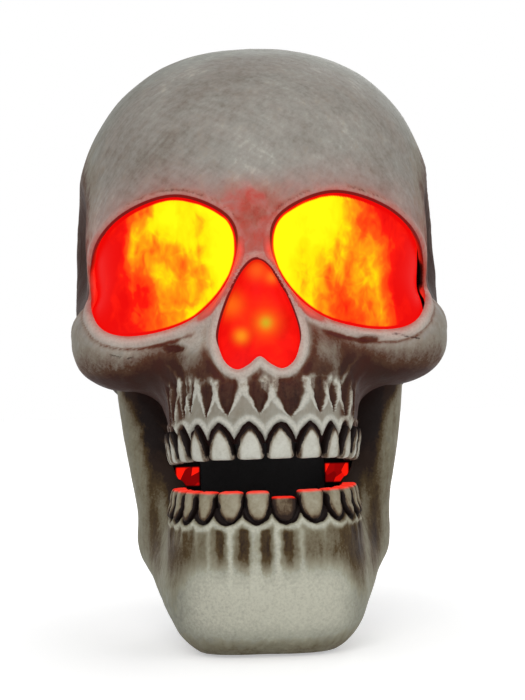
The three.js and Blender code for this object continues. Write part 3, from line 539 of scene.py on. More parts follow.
# rims of the openings, and the pale strips under the eyes
def carveRims(f, v, m):
    m.move += v["eyeRim"] * hump(f.eyes, 5, 3.6) - 2.4 * ease(3, 0, f.eyes) - hump(f.eyes, 13, 4)
    m.move += v["noseRim"] * hump(f.nose, 5, 3.4) - 2.6 * ease(3, 0, f.nose) - 1.4 * hump(f.nose, 13, 3.5)
    byNose = ease(42, 26, f.eyes) * ease(296, 310, f.z) * ease(88, 76, f.wide) * (f.x < 0)
    strip = np.maximum(ease(13, 9, f.eyes), byNose) * ease(350, 334, f.z)
    m.pale += 0.5 * hump(f.eyes, 5, 4) + 0.6 * strip + ease(11, 7, f.nose) + 0.24 * f.gum


# pits between the roots, with a pale ridge at each side, and the tooth sockets
def carveRoots(f, v, m):
    for at, half, top, tip in v["pits"]:
        w = np.interp(f.h, [tip, tip + 8, top - 12, top], [0.8, half * 0.42, half * 0.95, half * 1.05])
        across = np.abs(f.u - at + 1.4 * f.ragged) / w
        under = ease(top + 7, top - 7, f.h + 3 * f.ragged) * f.dental
        pit = ease(1.2, 0.55, across) * ease(tip - 2, tip + 5, f.h) * under
        stained = ease(1.5, 0.85, across) * ease(tip - 3, tip + 3, f.h) * under
        ridge = hump(across, 1.62, 0.3) * ease(tip - 4, tip + 7, f.h) * f.dental
        ridge *= ease(top + 6, top - 8, f.h)
        m.move += 0.8 * ridge - v["pitDepth"] * pit
        deepen(m, wash=0.95 * stained, soot=0.38 * ease(0.35, 1, pit))
        m.pale += 1.4 * ridge
    m.move += v["gumEdge"] * hump(f.sockets, 5.6, 1.8) - v["socketDepth"] * ease(3.6, 1.0, f.sockets)
    deepen(m, soot=ease(4.0, 1.8, f.sockets + 1.1 * f.ragged))
    m.pale += 0.9 * hump(f.sockets, 6.6, 2.4)


def carveScars(f, v, m):
    for sx, sz, length, height, depth in v["spots"]:
        spot = ease(1.3, 0.5, np.hypot((f.x - sx) / length, (f.z - sz) / height)) * f.front
        m.move -= depth * spot
        deepen(m, wash=spot, soot=0.38 * spot)
    for sx, sz, length, height in v["scratches"]:
        line = hump(f.z, sz + 2.5 * np.sin(f.x * 0.11), height) * f.front
        line *= ease(length, length * 0.6, np.abs(f.x - sx))
        m.move -= 0.8 * line
        deepen(m, soot=0.6 * line)


# folds that run down from under the cheekbone past the end of the tooth row
def carveFolds(f, m):
    bend = np.hypot(f.wide - 150, f.z - 236) + 1.2 * f.ragged
    under = ease(300, 284, f.z) * ease(206, 222, f.z) * (f.y < -70)
    under *= ease(70, 80, f.wide) * ease(112, 98, f.wide)
    folds = under * (0.5 + 0.5 * np.cos(bend * 2 * math.pi / 13)) ** 2
    m.move += 0.9 * (folds - 0.4 * under)
    m.pale += 0.4 * folds
    m.wash += 0.35 * under * (1 - folds)


# brown washes and painted shade in the hollows, painted shadow under the brows, with soot and painted shade
# in the deepest
def shadeSkull(p, n, f, m):
    # painted shadow: a dark band along the top of each eye, under the brow
    browShadow = hump(f.eyes, 6.5, 3.2) * ease(416, 434, f.z) * ease(128, 70, np.abs(f.wide - 56))
    browShadow *= ease(-0.45, 0.1, roughness(p, 0.04, 7) + 0.5 * f.ragged)
    temple = ease(1.2, 0.45, np.hypot((f.y + 18) / 108, (f.z - 404) / 122) - 0.1 * f.ragged)
    temple *= ease(0.62, 0.84, np.abs(n[:, 0]))
    shade = np.clip(0.6 * paintedOcclusion(p, n, 9) + 0.7 * paintedOcclusion(p, n, 28) + 0.5 * paintedOcclusion(p, n, 70) - 0.2, 0, 1)
    lower = ease(318, 258, f.z) * ease(-40, -70, f.y)
    flank = hump(f.wide, 56, 14) * hump(f.z, 276, 16) * f.front
    groove = hump(f.eyes + 1.2 * f.ragged, 12.5, 1.9) * ease(356, 340, f.z) * ease(56, 74, f.wide)
    cheek = ease(12, 24, f.eyes) * ease(342, 324, f.z) * ease(70, 88, f.wide) * f.front
    stain = hump(f.x, 70, 17) * hump(f.z, 318, 20) * f.front
    side = ease(84, 102, f.wide) * ease(286, 262, f.z) * ease(-30, -60, f.y)
    # painted shade around the nose opening, strongest below its rim
    nose = hump(f.nose, 15, 4) * (0.4 + 0.6 * ease(330, 304, f.z))
    wash = (0.8 * shade + 0.66 * lower + 0.4 * flank) * (1 - 0.66 * f.gum) + 0.1 * f.gum + 0.9 * temple
    wash += 0.5 * groove + 0.2 * cheek + 0.34 * stain + 0.4 * side + 0.45 * nose + 0.5 * browShadow
    m.wash = np.clip(wash + m.wash, 0, 1)
    # painted shade: near-black paint in the recess at each side under the cheekbones
    shadedRecess = ease(96, 108, f.wide) * ease(262, 246, f.z) * f.front
    deepen(m, soot=np.maximum.reduce([0.45 * browShadow, 0.75 * shadedRecess, 0.26 * temple]))


# red light around the openings and between the brows
def lightSkull(p, f, m):
    def fading(gap, length):
        return np.exp(-np.maximum(gap, 0) / length)

    bridge = hump(f.x, -4, 34) * ease(482, 440, f.z) * ease(340, 384, f.z) * (f.y < -120)
    patches = ease(-0.1, 0.35, roughness(p, 0.035, 21) + 0.35 * f.ragged)
    nasal = ease(66, 40, f.wide) * ease(412, 396, f.z) * ease(9, 3, f.eyes)
    nasal *= ease(3, 5, f.nose)
    glow = 0.75 * fading(f.eyes, 5) + 0.46 * fading(f.eyes, 25) * (0.3 + 0.7 * ease(330, 390, f.z))
    glow += 0.35 * fading(f.nose, 4) + 0.12 * fading(f.nose, 20) + bridge * (0.68 + 0.5 * patches)
    m.glow = np.clip(glow, 0, 1) + 5 * nasal
    m.wash += 0.4 * bridge * (1 - patches) * ease(400, 425, f.z)
    m.soot *= 1 - nasal


def carveSkull(p, n):
    v, f, m = skullCarving, skullFields(p), blankMarks(len(p))
    carveRims(f, v, m)
    carveFolds(f, m)
    shadeSkull(p, n, f, m)
    carveRoots(f, v, m)
    carveScars(f, v, m)
    lightSkull(p, f, m)
    m.move += v["lumps"] * roughness(p, 0.02, 3) * ease(2, 12, np.minimum(f.eyes, f.nose))
    return m


jawCarving = {
    "pitDepth": 2.4, "socketDepth": 2.4, "gumEdge": 1.4, "lumps": 0.9,
    # along the row, half width, lower end
    "pits": [(-6, 5.5, 58), (-23.5, 6, 60), (-44, 5, 66), (13, 5.5, 64), (-73.5, 4.5, 92), (39, 2.5, 106),
             (-90, 4, 100), (56, 3, 112), (-62, 2.5, 116), (80, 4.5, 100), (-102, 5, 96), (95, 5, 92)],
}


def carveJaw(p, n):
    v, m = jawCarving, blankMarks(len(p))
    x, y, z = p.T
    wide = np.abs(x)
    u, h, sockets = socketDistance(lowerRow, lowerTeeth, lowerArch, p)
    dental = (y < -75) & (z > 40) & (wide < 116)
    sockets = np.where(dental, sockets, toothReach)
    ragged = roughness(p, 0.16, 9)
    m.move += v["gumEdge"] * hump(sockets, 5.6, 2.0) - v["socketDepth"] * ease(3.6, 1.0, sockets)
    m.soot = ease(4.2, 2.0, sockets + 1.1 * ragged)
    chin = ease(108, 66, z) * ease(98, 60, wide) * ease(8, 44, z)
    m.pale = 0.9 * hump(sockets, 6.6, 2.6) + chin
    for at, half, low in v["pits"]:
        strength = ease(low, low + 48, h) * ease(134, 127, h) * dental
        across = np.abs(u - at + 1.2 * ragged) / half
        pit = ease(1.35, 0.4, across) * strength
        m.move -= v["pitDepth"] * pit
        deepen(m, wash=0.74 * pit, soot=0.2 * ease(0.5, 1, pit))
        m.pale += 0.5 * hump(across, 1.9, 0.45) * strength
    # painted shade: darker in the hollows, in the recess between each branch and the teeth (near black at
    # its top, under the cheek), and under the chin; a brown wash also darkens the jaw towards the gums
    outward = ease(0.5, 0.85, np.abs(n[:, 0]))
    edge = branchSide(z)
    shadedRecess = ease(edge - 15, edge - 31, wide) * ease(94, 103, wide) * ease(-10, -40, y)
    shade = np.clip(0.6 * paintedOcclusion(p, n, 9) + 0.8 * paintedOcclusion(p, n, 28) + 0.6 * paintedOcclusion(p, n, 60) - 0.2, 0, 1)
    shade *= (1 - 0.6 * outward * (wide > 110)) * (1 - 0.8 * shadedRecess)
    washAndChinShade = 0.42 * ease(58, 104, z) + 0.26 * ease(60, 96, wide) * ease(30, 74, z)
    washAndChinShade += 0.14 * ease(50, 90, x) * ease(40, 90, z) + 0.36 * ease(42, 8, z)
    washAndChinShade *= (1 - 0.6 * ease(112, 126, wide)) * (1 - 0.6 * shadedRecess)
    deepen(m, wash=np.clip(shade + 0.8 * shadedRecess * ease(138, 205, z) + washAndChinShade, 0, 1),
           soot=0.9 * shadedRecess * ease(164, 218, z + 8 * ragged))
    m.move += v["lumps"] * roughness(p, 0.022, 11)
    return m


# carves a surface and paints it
def sculpt(bm, form, carving):
    p = coords(bm)
    n = slopeOf(form, p)
    n /= np.maximum(np.linalg.norm(n, axis=1), 1e-9)[:, None]
    m = carving(p, n)
    place(bm, p + n * m.move[:, None])
    paint(bm, {"wash": m.wash, "soot": m.soot, "pale": np.clip(m.pale, 0, 1), "glow": m.glow})


# short calls for a node tree, where a value is a number, a colour or another node's output
class NodeTree:
    def __init__(self, owner, last):
        owner.use_nodes = True
        self.owner = owner
        self.nodes, self.links = owner.node_tree.nodes, owner.node_tree.links
        self.last = self.nodes[last]

    def put(self, socket, value):
        if isinstance(value, bpy.types.NodeSocket):
            self.links.new(value, socket)
        else:
            socket.default_value = tint(value)

    def set(self, name, value):
        self.put(self.last.inputs[name], value)

    def node(self, kind, **values):
        made = self.nodes.new("ShaderNode" + kind)
        for name, value in values.items():
            self.put(made.inputs[name], value)
        return made

    def position(self):
        return self.node("TexCoord").outputs["Object"]

    def axes(self):
        return self.node("SeparateXYZ", Vector=self.position()).outputs

    # object coordinates with a pattern scaled along axes that may be turned
    def coords(self, scale=(1, 1, 1), turn=(0, 0, 0)):
        mapping = self.node("Mapping", Vector=self.position(), Scale=[1 / c for c in scale], Rotation=turn)
        mapping.vector_type = "TEXTURE"
        return mapping.outputs["Vector"]

    def noise(self, vector, scale, detail, rough, twist=0.0):
        return self.node("TexNoise", Vector=vector, Scale=scale, Detail=detail, Roughness=rough,
                         Distortion=twist).outputs["Fac"]

    def ramp(self, value, stops):
        made = self.node("ValToRGB", Fac=value)
        points = made.color_ramp.elements
        while len(points) < len(stops):
            points.new(0.5)
        for point, (at, colour) in zip(points, stops):
            point.position = at
            point.color = tint(colour)
        return made.outputs["Color"]

    def calc(self, kind, a, b=0, clamp=False):
        made = self.node("Math")
        made.operation = kind
        made.use_clamp = clamp
        for socket, value in zip(made.inputs, (a, b)):
            self.put(socket, value)
        return made.outputs["Value"]

    def plus(self, first, *others):
        for value in others:
            first = self.calc("ADD", first, value)
        return first

    def minus(self, a, b):
        return self.calc("SUBTRACT", a, b)

    def times(self, a, b, clamp=False):
        return self.calc("MULTIPLY", a, b, clamp)

    # a noise from 0 to 1, made to swing about zero
    def about(self, value, amount):
        return self.times(self.minus(value, 0.5), amount)

    def mix(self, amount, a, b):
        made = self.node("Mix")
        made.data_type = "RGBA"
        for i, value in ((0, amount), (6, a), (7, b)):
            self.put(made.inputs[i], value)
        return made.outputs[2]

    def mark(self, name):
        made = self.node("Attribute")
        made.attribute_name = name
        return made.outputs["Fac"]

    def bump(self, height, strength, distance):
        made = self.node("Bump", Height=height, Strength=strength, Distance=distance)
        self.set("Normal", made.outputs["Normal"])

    def roughness(self, value, low, high, top=0.7):
        self.set("Roughness", self.ramp(value, [(0.3, grey(low)), (top, grey(high))]))

    # light that leaves the surface in its own colour
    def shine(self, colour, strength, share, unlit):
        self.set("Emission Color", colour)
        self.set("Emission Strength", strength)
        self.set("Base Color", self.mix(share, colour, unlit))


def newLook(name):
    return NodeTree(bpy.data.materials.new(name), "Principled BSDF")


def grey(c):
    return (c, c, c, 1)


# a hex colour as the renderer counts it; any other value stays as it is
def tint(value):
    if not isinstance(value, str):
        return value
    parts = [int(value[i:i + 2], 16) / 255 for i in (0, 2, 4)]
    return (*[c / 12.92 if c <= 0.04045 else ((c + 0.055) / 1.055) ** 2.4 for c in parts], 1)


black, white = grey(0), grey(1)


# hand-brushed bone paint: pale greys, brown washes with painted shade in the hollows, sooty lines with
# painted shade in the deepest places, painted red light at the rims
def bonePaint(name, v):
    g = newLook(name)
    plain = g.coords()
    cloud = g.noise(plain, 9, 4, 0.55)
    mottle = g.noise(plain, 52, 8, 0.66, 0.5)
    fine = g.noise(plain, 380, 4, 0.62)
    brushed = g.noise(g.coords((1, 1, 0.16), (0.12, 0.1, 0)), 150, 5, 0.62, 0.2)
    scored = g.noise(g.coords((1, 1, 0.07), (0.3, 0.7, 0)), 210, 2, 0.5)
    scraped = g.noise(g.coords((1, 1, 0.09), (-0.2, -1.0, 0)), 160, 2, 0.5)

    def mixed(start, *grains):
        return g.plus(start, *[g.about(grain, amount) for grain, amount in grains])

    tone = mixed(0.5, (cloud, 0.5), (mottle, 0.26), (brushed, 0.18), (fine, 0.16), (scored, 0.22))
    tone = mixed(tone, (scraped, 0.2))
    base = g.ramp(tone, [(0.34, v["dark"]), (0.47, v["mid"]), (0.58, v["light"]), (0.74, v["chalk"])])
    pale = g.times(g.mark("pale"), mixed(0.9, (fine, 1.6)), True)
    base = g.mix(g.times(pale, 0.85), base, v["chalk"])
    wash = mixed(g.mark("wash"), (mottle, 0.36), (brushed, 0.5), (fine, 0.4))
    wash = g.minus(wash, g.times(pale, 0.55))
    washColour = g.ramp(wash, [(0.12, v["stain"]), (0.45, v["wash"]), (0.85, v["deep"])])
    base = g.mix(g.ramp(wash, [(0.04, black), (0.6, white)]), base, washColour)
    # painted red light: the screens' light on the bone, as a red tint in the paint and, below, a faint glow
    warmLight = g.times(g.mark("glow"), mixed(0.8, (mottle, 1.4)), True)
    base = g.mix(g.times(warmLight, 0.85), base, v["warmLight"])
    soot = mixed(g.mark("soot"), (brushed, 0.5), (fine, 0.6))
    base = g.mix(g.ramp(soot, [(0.36, black), (0.66, white)]), base, v["soot"])
    # painted red light: the moulding's thickness at the openings in dark red, as lit by the screens
    edge = g.minus(g.times(g.mark("thickness"), v["edge"]), g.mark("gap"))
    g.set("Base Color", g.mix(g.times(edge, 1.6, True), base, v["socket"]))
    g.set("Emission Color", v["lit"])
    light = g.times(g.mark("glow"), mixed(1.0, (mottle, 0.6)))
    g.set("Emission Strength", g.times(light, v["litStrength"]))
    g.roughness(mottle, 0.5, 0.72, 0.75)
    g.set("Specular IOR Level", 0.12)
    g.bump(mixed(0, (mottle, 0.9), (fine, 0.35), (brushed, 0.3), (scored, 0.3)), 0.5, 0.0014)
    return g.owner


boneLook = {"dark": "7a796f", "mid": "90928a", "light": "9fa29a", "chalk": "cecec2", "stain": "7e704c",
            "wash": "56422f", "deep": "2a1d16", "soot": "19100e", "warmLight": "b2382a", "socket": "600b09",
            "edge": 3.2, "lit": "ff2414", "litStrength": 0.09}
bone = bonePaint("bonePaint", boneLook)
jawLook = dict(boneLook, mid="929284", light="a1a293", chalk="cecdbc", stain="807142", wash="5c4a2c")

# the skull's two halves
skullMesh = {"middle": (0, -20, 335), "around": 240, "rings": 116, "crowd": 1.25, "seam": 40, "seamGap": 0.2}


# distance outside the openings, for the front of the skull only
def outsideOpenings(p):
    return np.where(p[:, 1] < -40, np.minimum(eyesGap(p), noseGap(p)), openingReach)


def upperDental(p):
    return (p[:, 1] < -95) & (p[:, 2] < 288) & (p[:, 2] > 196)


# where the moulding's thickness shows around an opening, painted dark red as the screens' light on it
def wallMarks(p):
    gap = outsideOpenings(p)
    atNose = ease(298, 318, p[:, 2]) * np.where(p[:, 0] < 0, 0.85, 0.6)
    shown = np.where(noseGap(p) <= gap + 0.01, atNose, ease(376, 424, p[:, 2]))
    return {"gap": gap, "thickness": shown}


# the holes that the seam screws sit in
seamScrews = {"y": 49, "levels": (330, 522), "radius": 4.8}


def outsideScrews(p):
    v = seamScrews
    away = [np.hypot(p[:, 1] - v["y"], p[:, 2] - level) for level in v["levels"]]
    return np.minimum(*away) - v["radius"]


def sculptSkull(v):
    bm = moulded(skullForm, v["middle"], v["around"], v["rings"], v["crowd"])
    for rims, holes in ((17, 9), (0, 5)):
        refine(bm, skullForm, lambda p: (
            (np.abs(outsideOpenings(p)) < rims) | upperDental(p) | (outsideScrews(p) < holes)))
    sculpt(bm, skullForm, carveSkull)
    for keep in (insideProfile(skullProfile), outsideJawRoom, outsideOpenings, outsideScrews):
        cutAway(bm, keep)
    paint(bm, wallMarks(coords(bm)))
    return bm


# the light of the screens on the edges behind their openings, with one dark gap at the right
def sideLit(p):
    left = ease(18, 10, eyeGap(p, -1)) * ease(-120, -140, p[:, 0])
    right = ease(18, 10, eyeGap(p, 1)) * ease(120, 140, p[:, 0])
    return np.maximum(left, right * ease(10, 20, np.abs(p[:, 2] - 374))) * ease(-62, -84, p[:, 1])


# one half of the skull, in front of the seam or behind it
def skullHalf(bm, side, name, node, innerMarks):
    cutAway(bm, lambda p: side * (p[:, 1] - skullMesh["seam"]) - skullMesh["seamGap"])
    largestPart(bm)
    thicken(bm, wall, dict(innerMarks, wash=0.2, pale=0.0))
    finishPiece(bm, name, bone, "skull", node)


rearPart = sculptSkull(skullMesh)
facePart = rearPart.copy()
skullHalf(facePart, -1, "paintedFace", "face_shell", {
    "soot": lambda p: 1.2 - 1.2 * sideLit(p), "glow": lambda p: 7 * sideLit(p)})
skullHalf(rearPart, 1, "paintedCranium", "cranium_shell", {"soot": 1.0})

# the jaw
jawMesh = {"middle": (0, -10, 105), "around": 172, "rings": 84, "crowd": 1.2, "evening": 10}


def lowerDental(p):
    return (p[:, 1] < -85) & (p[:, 2] > 66) & (p[:, 2] < 158) & (np.abs(p[:, 0]) < 108)


def sculptJaw(v):
    bm = moulded(jawForm, v["middle"], v["around"], v["rings"], v["crowd"], 0.0, v["evening"])
    for turn in range(2):
        refine(bm, jawForm, lowerDental)
    sculpt(bm, jawForm, carveJaw)
    cutAway(bm, insideProfile(jawProfile))
    cutAway(bm, outsideThroat)
    largestPart(bm)
    thicken(bm, wall, {"wash": 0.9, "soot": 0.4, "pale": 0.0})
    return bm


finishPiece(sculptJaw(jawMesh), "paintedJaw", bonePaint("jawPaint", jawLook),
            "jaw", "jaw_shell")


# one tooth: a rounded block drawn to its arch, crowned in front, leaning with the gum
def toothShape(whole, u, width, row, teeth, arch, upper, seed):
    bm = bmesh.new()
    bmesh.ops.create_cube(bm, size=2)
    bmesh.ops.subdivide_edges(bm, edges=bm.edges, cuts=13, use_grid_fill=True)
    q = coords(bm)
    q = q / ((np.abs(q) ** 7).sum(1) ** (1 / 7))[:, None]
    height = teeth["height"]
    level = row["level"] + teeth["rise"]
    chipped = abs(u - teeth["chipped"]) < 1
    if chipped:
        height *= 0.8
        level -= 0.1 * teeth["height"]
    side = np.maximum(arch(np.clip(q[:, 2], -1, 1)), 0.06)
    half = side * (width - teeth["gap"]) / 2
    thick = teeth["thickness"] / 2 * (0.75 + 0.25 * np.sqrt(side))
    local = np.c_[q[:, 0] * half, q[:, 1] * thick, q[:, 2] * height / 2]
    crownOut = (1 - q[:, 0] ** 2) * (1 - 0.5 * q[:, 2] ** 2)
    local[:, 1] -= np.where(q[:, 1] < 0, 1.8 * crownOut, 0)
    rough = roughness(local, 0.12, seed)
    local += 0.45 * rough[:, None] * np.sign(local)
    rootward = 1 if upper else -1
    heights = np.linspace(-0.62, 0.62, 11) * teeth["height"]
    lean = rowLean(row, u, heights) * np.where(rootward * heights > 0, 0.92, teeth["follow"])
    local[:, 1] -= np.interp(level - row["level"] + local[:, 2], heights, lean) + teeth["out"]
    x, y = (np.interp(u, row["arc"], row[axis]) for axis in "xy")
    aheadX, aheadY = (np.interp(u + 2, row["arc"], row[axis]) for axis in "xy")
    turn = math.atan2(aheadY - y, aheadX - x)
    c, s = math.cos(turn), math.sin(turn)
    placed = np.c_[x + c * local[:, 0] - s * local[:, 1], y + s * local[:, 0] + c * local[:, 1],
                   level - row["slope"] * (y - row["front"]) + local[:, 2]]
    root = rootward * q[:, 2]
    inward = np.minimum((1 - np.abs(q[:, 0])) * half, (1 - root) * height * 0.4)
    rim = teeth["line"] * math.sqrt(width / teeth["widths"][0]) - 0.4
    line = ease(rim + 1.1, rim - 1.1, inward + 0.9 * rough) * (0.35 + 0.65 * ease(-1, -0.3, root))
    wash = 0.45 * ease(6, 2, inward) + 0.3 * ease(0.1, 0.9, root) + 0.2 * rough + 0.55 * chipped
    # painted red light: the tops of the lower teeth glow red, for the mouth lamps' light falling on them
    lit = np.zeros(len(q)) if upper else ease(0.84, 0.97, q[:, 2])
    soot = np.maximum(0.9 * ease(-0.35, 0.1, q[:, 1]), line) * (1 - lit)
    pale = teeth["pale"] * (not chipped) * ease(2.5, 8, inward)
    place(bm, placed)
    paint(bm, {"wash": np.clip(wash, 0, 1), "soot": np.clip(soot, 0, 1), "glow": lit, "pale": pale})
    single = bpy.data.meshes.new("tooth")
    bm.to_mesh(single)
    bm.free()
    whole.from_mesh(single)
    bpy.data.meshes.remove(single)


def toothSet(row, teeth, arch, upper):
    bm = bmesh.new()
    for i, (u, w) in enumerate(toothPlaces(teeth)):
        toothShape(bm, u, w, row, teeth, arch, upper, 3.7 * i + (0 if upper else 50))
    bmesh.ops.recalc_face_normals(bm, faces=bm.faces)
    return bm


upperToothLook = dict(boneLook, dark="968e7c", mid="b8b5a7", light="c8c7bb", chalk="d6d6cc", stain="8c7c62",
                      wash="604c38", warmLight="7c0a07", litStrength=0.85)
lowerToothLook = dict(upperToothLook, dark="70624c", mid="918871", light="a39c87", chalk="bcb7a6")
finishPiece(toothSet(upperRow, upperTeeth, upperArch, True), "upperTeeth",
            bonePaint("upperToothPaint", upperToothLook), "skull", "face_shell")
finishPiece(toothSet(lowerRow, lowerTeeth, lowerArch, False), "lowerTeeth",
            bonePaint("lowerToothPaint", lowerToothLook), "jaw", "jaw_shell")


# flame light on the eye screens: yellow by the nose, through orange, to red outside, in upright tongues
def flameLight(name, v):
    g = newLook(name)
    at = g.axes()
    tongues = g.noise(g.coords((1, 0.2, 0.42)), 44, 3, 0.45, 0.5)
    licks = g.noise(g.coords((1, 0.2, 0.62)), 20, 3, 0.45, 0.5)
    wisps = g.noise(g.coords((1, 0.2, 0.7)), 95, 2, 0.5, 0.8)
    out = g.times(g.minus(g.calc("ABSOLUTE", at["X"]), v["inner"]), 1 / v["width"])
    heat = g.minus(v["level"], g.times(out, v["fall"]))
    heat = g.plus(heat, g.about(tongues, v["tongues"]), g.about(licks, v["licks"]))
    heat = g.plus(heat, g.about(wisps, v["wisps"]), g.times(g.minus(at["Z"], eyeLine / 1000), v["rise"]))
    heat = g.minus(heat, g.times(g.mark("edge"), v["edge"]))
    g.shine(g.ramp(heat, v["colours"]), v["strength"], 0.97, (0.01, 0.002, 0.001, 1))
    g.set("Specular IOR Level", 0.02)
    g.roughness(licks, 0.5, 0.65)
    g.bump(tongues, 0.1, 0.0005)
    return g.owner


flameLook = {"inner": 0.022, "width": 0.15, "level": 0.93, "fall": 0.95, "tongues": 0.75, "licks": 1.15,
             "wisps": 0.34, "rise": 1.2, "edge": 1.0, "strength": 1.0,
             "colours": [(0.0, "ec0605"), (0.16, "fe1608"), (0.36, "fe5c0e"), (0.52, "ffa00e"),
                         (0.68, "ffe806"), (0.9, "ffff0c")]}
flame = flameLight("flameLight", flameLook)
screens = {"lip": 6.0, "noseLip": 9.0, "noseBack": 2.3, "noseGap": 2.0, "thickness": 2.0, "short": 163.0,
           "front": -50, "around": 200, "rings": 100, "crowd": 1.3}


# a thin screen behind its opening, with the opening's edge marked
def screenPiece(name, outline, opening, inset, extraCut, material, node):
    v = screens
    bm = moulded(skullForm, skullMesh["middle"], v["around"], v["rings"], v["crowd"], inset, 1)
    for turn in range(2):
        refine(bm, skullForm, lambda p: (np.abs(gapTo(p, opening)) < 9) & (p[:, 1] < v["front"]), inset)
    cutAway(bm, lambda p: np.where(p[:, 1] < v["front"], -gapTo(p, outline), -40.0))
    for keep in extraCut:
        cutAway(bm, keep)
    largestPart(bm)
    bmesh.ops.remove_doubles(bm, verts=bm.verts, dist=0.3)
    bmesh.ops.dissolve_degenerate(bm, edges=bm.edges, dist=0.1)
    paint(bm, {"edge": ease(3.4, 0.8, -gapTo(coords(bm), opening))})
    thicken(bm, v["thickness"], {})
    finishPiece(bm, name, material, "skull", node)


def clearOfNose(p):
    return noseGap(p) - screens["noseGap"]


screenPiece("leftFlameScreen", eyeOutline(-1, screens["lip"]), eyeOutline(-1), wall + fit, [clearOfNose],
            flame, "eye_screen_left")
screenPiece("rightFlameScreen", eyeOutline(1, screens["lip"]), eyeOutline(1), wall + fit,
            [clearOfNose, lambda p: screens["short"] - p[:, 0]], flame, "eye_screen_right")


# the nose screen glows red, with its lamps showing through as orange spots
def noseLight(name, v):
    g = newLook(name)
    haze = g.noise(g.coords(), 38, 4, 0.55, 0.4)
    colour = g.ramp(haze, [(0.3, v["deep"]), (0.6, v["red"]), (0.8, v["warmLight"])])
    at = g.axes()
    for x, z, size, hue in v["spots"]:
        dx, dz = (g.times(g.minus(axis, middle), 1 / size) for axis, middle in ((at["X"], x), (at["Z"], z)))
        square = g.plus(g.times(dx, dx), g.times(dz, dz))
        spot = g.calc("POWER", 2.718, g.times(square, -1.0))
        colour = g.mix(g.times(spot, 0.9), colour, hue)
    colour = g.mix(g.times(g.mark("edge"), 0.55), colour, v["deep"])
    g.shine(colour, v["strength"], 0.97, (0.01, 0.001, 0.001, 1))
    g.set("Specular IOR Level", 0.02)
    g.roughness(haze, 0.3, 0.45)
    g.bump(haze, 0.1, 0.0005)
    return g.owner


noseLook = {"deep": "e80a08", "red": "ff160e", "warmLight": "ff2810", "strength": 1.0,
            # x, z, size, colour
            "spots": [(0.005, 0.327, 0.012, "ff7012"), (0.005, 0.327, 0.0055, "ceb024"),
                      (-0.019, 0.315, 0.0065, "ff961a"), (-0.027, 0.345, 0.011, "ff6814"),
                      (-0.002, 0.378, 0.009, "ff5c18"), (0.012, 0.371, 0.006, "ff701e")]}
screenPiece("noseGlowScreen", noseOutline(screens["noseLip"]), noseOutline(),
            wall + fit + screens["noseBack"], [], noseLight("noseLight", noseLook),
            "nose_screen")


# finishes for the stand and the works inside
def plainFinish(name, v):
    g = newLook(name)
    grain = g.noise(g.coords(v["along"]), v["grain"], 4, 0.6)
    cloud = g.noise(g.coords(), *v["cloud"])
    g.set("Base Color", g.ramp(cloud, [(0.3, v["dark"]), (0.7, v["light"])]))
    g.set("Metallic", v["metal"])
    g.roughness(grain, *v["rough"])
    g.set("Specular IOR Level", v["gloss"])
    g.bump(grain, v["bump"], v["depth"])
    return g.owner


plastic = {"metal": 0, "along": (1, 1, 1), "cloud": (14, 4, 0.6), "depth": 0.0004}
metal = {"metal": 1, "gloss": 0.5, "grain": 900, "cloud": (30, 5, 0.6), "bump": 0.15, "depth": 0.0002}


def circuit(name, v):
    g = newLook(name)
    plain = g.coords()
    cells = g.node("TexVoronoi", Vector=plain, Scale=v["cells"])
    cells.distance = "MANHATTAN"
    away = cells.outputs["Distance"]
    traces = g.ramp(away, [(0.5, black), (0.56, white), (0.66, black)])
    pads = g.ramp(away, [(0.1, white), (0.14, black)])
    cloud = g.noise(plain, 40, 3, 0.6)
    colour = g.ramp(cloud, [(0.3, v["dark"]), (0.7, v["light"])])
    colour = g.mix(g.times(traces, 0.6), colour, v["trace"])
    g.set("Base Color", g.mix(pads, colour, v["pad"]))
    g.roughness(cloud, 0.3, 0.42)
    g.bump(traces, 0.2, 0.0002)
    return g.owner


def lampGlow(name, v):
    g = newLook(name)
    cells = g.node("TexVoronoi", Vector=g.coords(), Scale=v["cells"])
    haze = g.noise(g.coords(), v["haze"], 3, 0.5, 0.6)
    tone = g.plus(g.times(cells.outputs["Distance"], 0.5), g.times(haze, 0.6))
    colour = g.ramp(tone, [(0.3, v["deep"]), (0.5, v["mid"]), (0.75, v["hot"])])
    g.shine(colour, v["strength"], 0.85, (0.04, 0.004, 0.003, 1))
    g.roughness(haze, 0.28, 0.42)
    return g.owner


# the light panel at each corner of the mouth: a lit window of cut facets in a black sheet
def mouthLight(name, v):
    g = newLook(name)
    at = g.axes()
    cells = g.node("TexVoronoi", Vector=g.coords((1.5, 1, 0.7), (0, 0.5, 0)), Scale=v["facets"])
    facet = g.node("SeparateColor", Color=cells.outputs["Color"]).outputs["Red"]
    colour = g.ramp(facet, [(0.3, v["deep"]), (0.5, v["mid"]), (0.7, v["hot"])])
    window = g.calc("LESS_THAN", at["Y"], v["face"])
    for value, (low, high) in ((g.calc("ABSOLUTE", at["X"]), v["across"]), (at["Z"], v["upright"])):
        off = g.calc("ABSOLUTE", g.minus(value, (low + high) / 2))
        window = g.times(window, g.times(g.minus((high - low) / 2, off), 600, True))
    g.set("Emission Color", g.mix(window, black, colour))
    g.set("Emission Strength", 1.0)
    g.set("Base Color", g.mix(window, v["sheet"], v["deep"]))
    g.set("Specular IOR Level", 0.08)
    g.roughness(g.noise(g.coords(), 300, 3, 0.5), 0.5, 0.65)
    return g.owner


def clearLens(name, v):
    g = newLook(name)
    haze = g.noise(g.coords(), 60, 3, 0.5)
    g.set("Base Color", g.ramp(haze, [(0.3, v["dark"]), (0.7, v["light"])]))
    g.roughness(haze, *v["rough"])
    g.set("Transmission Weight", 0.9)
    g.set("IOR", 1.49)
    return g.owner


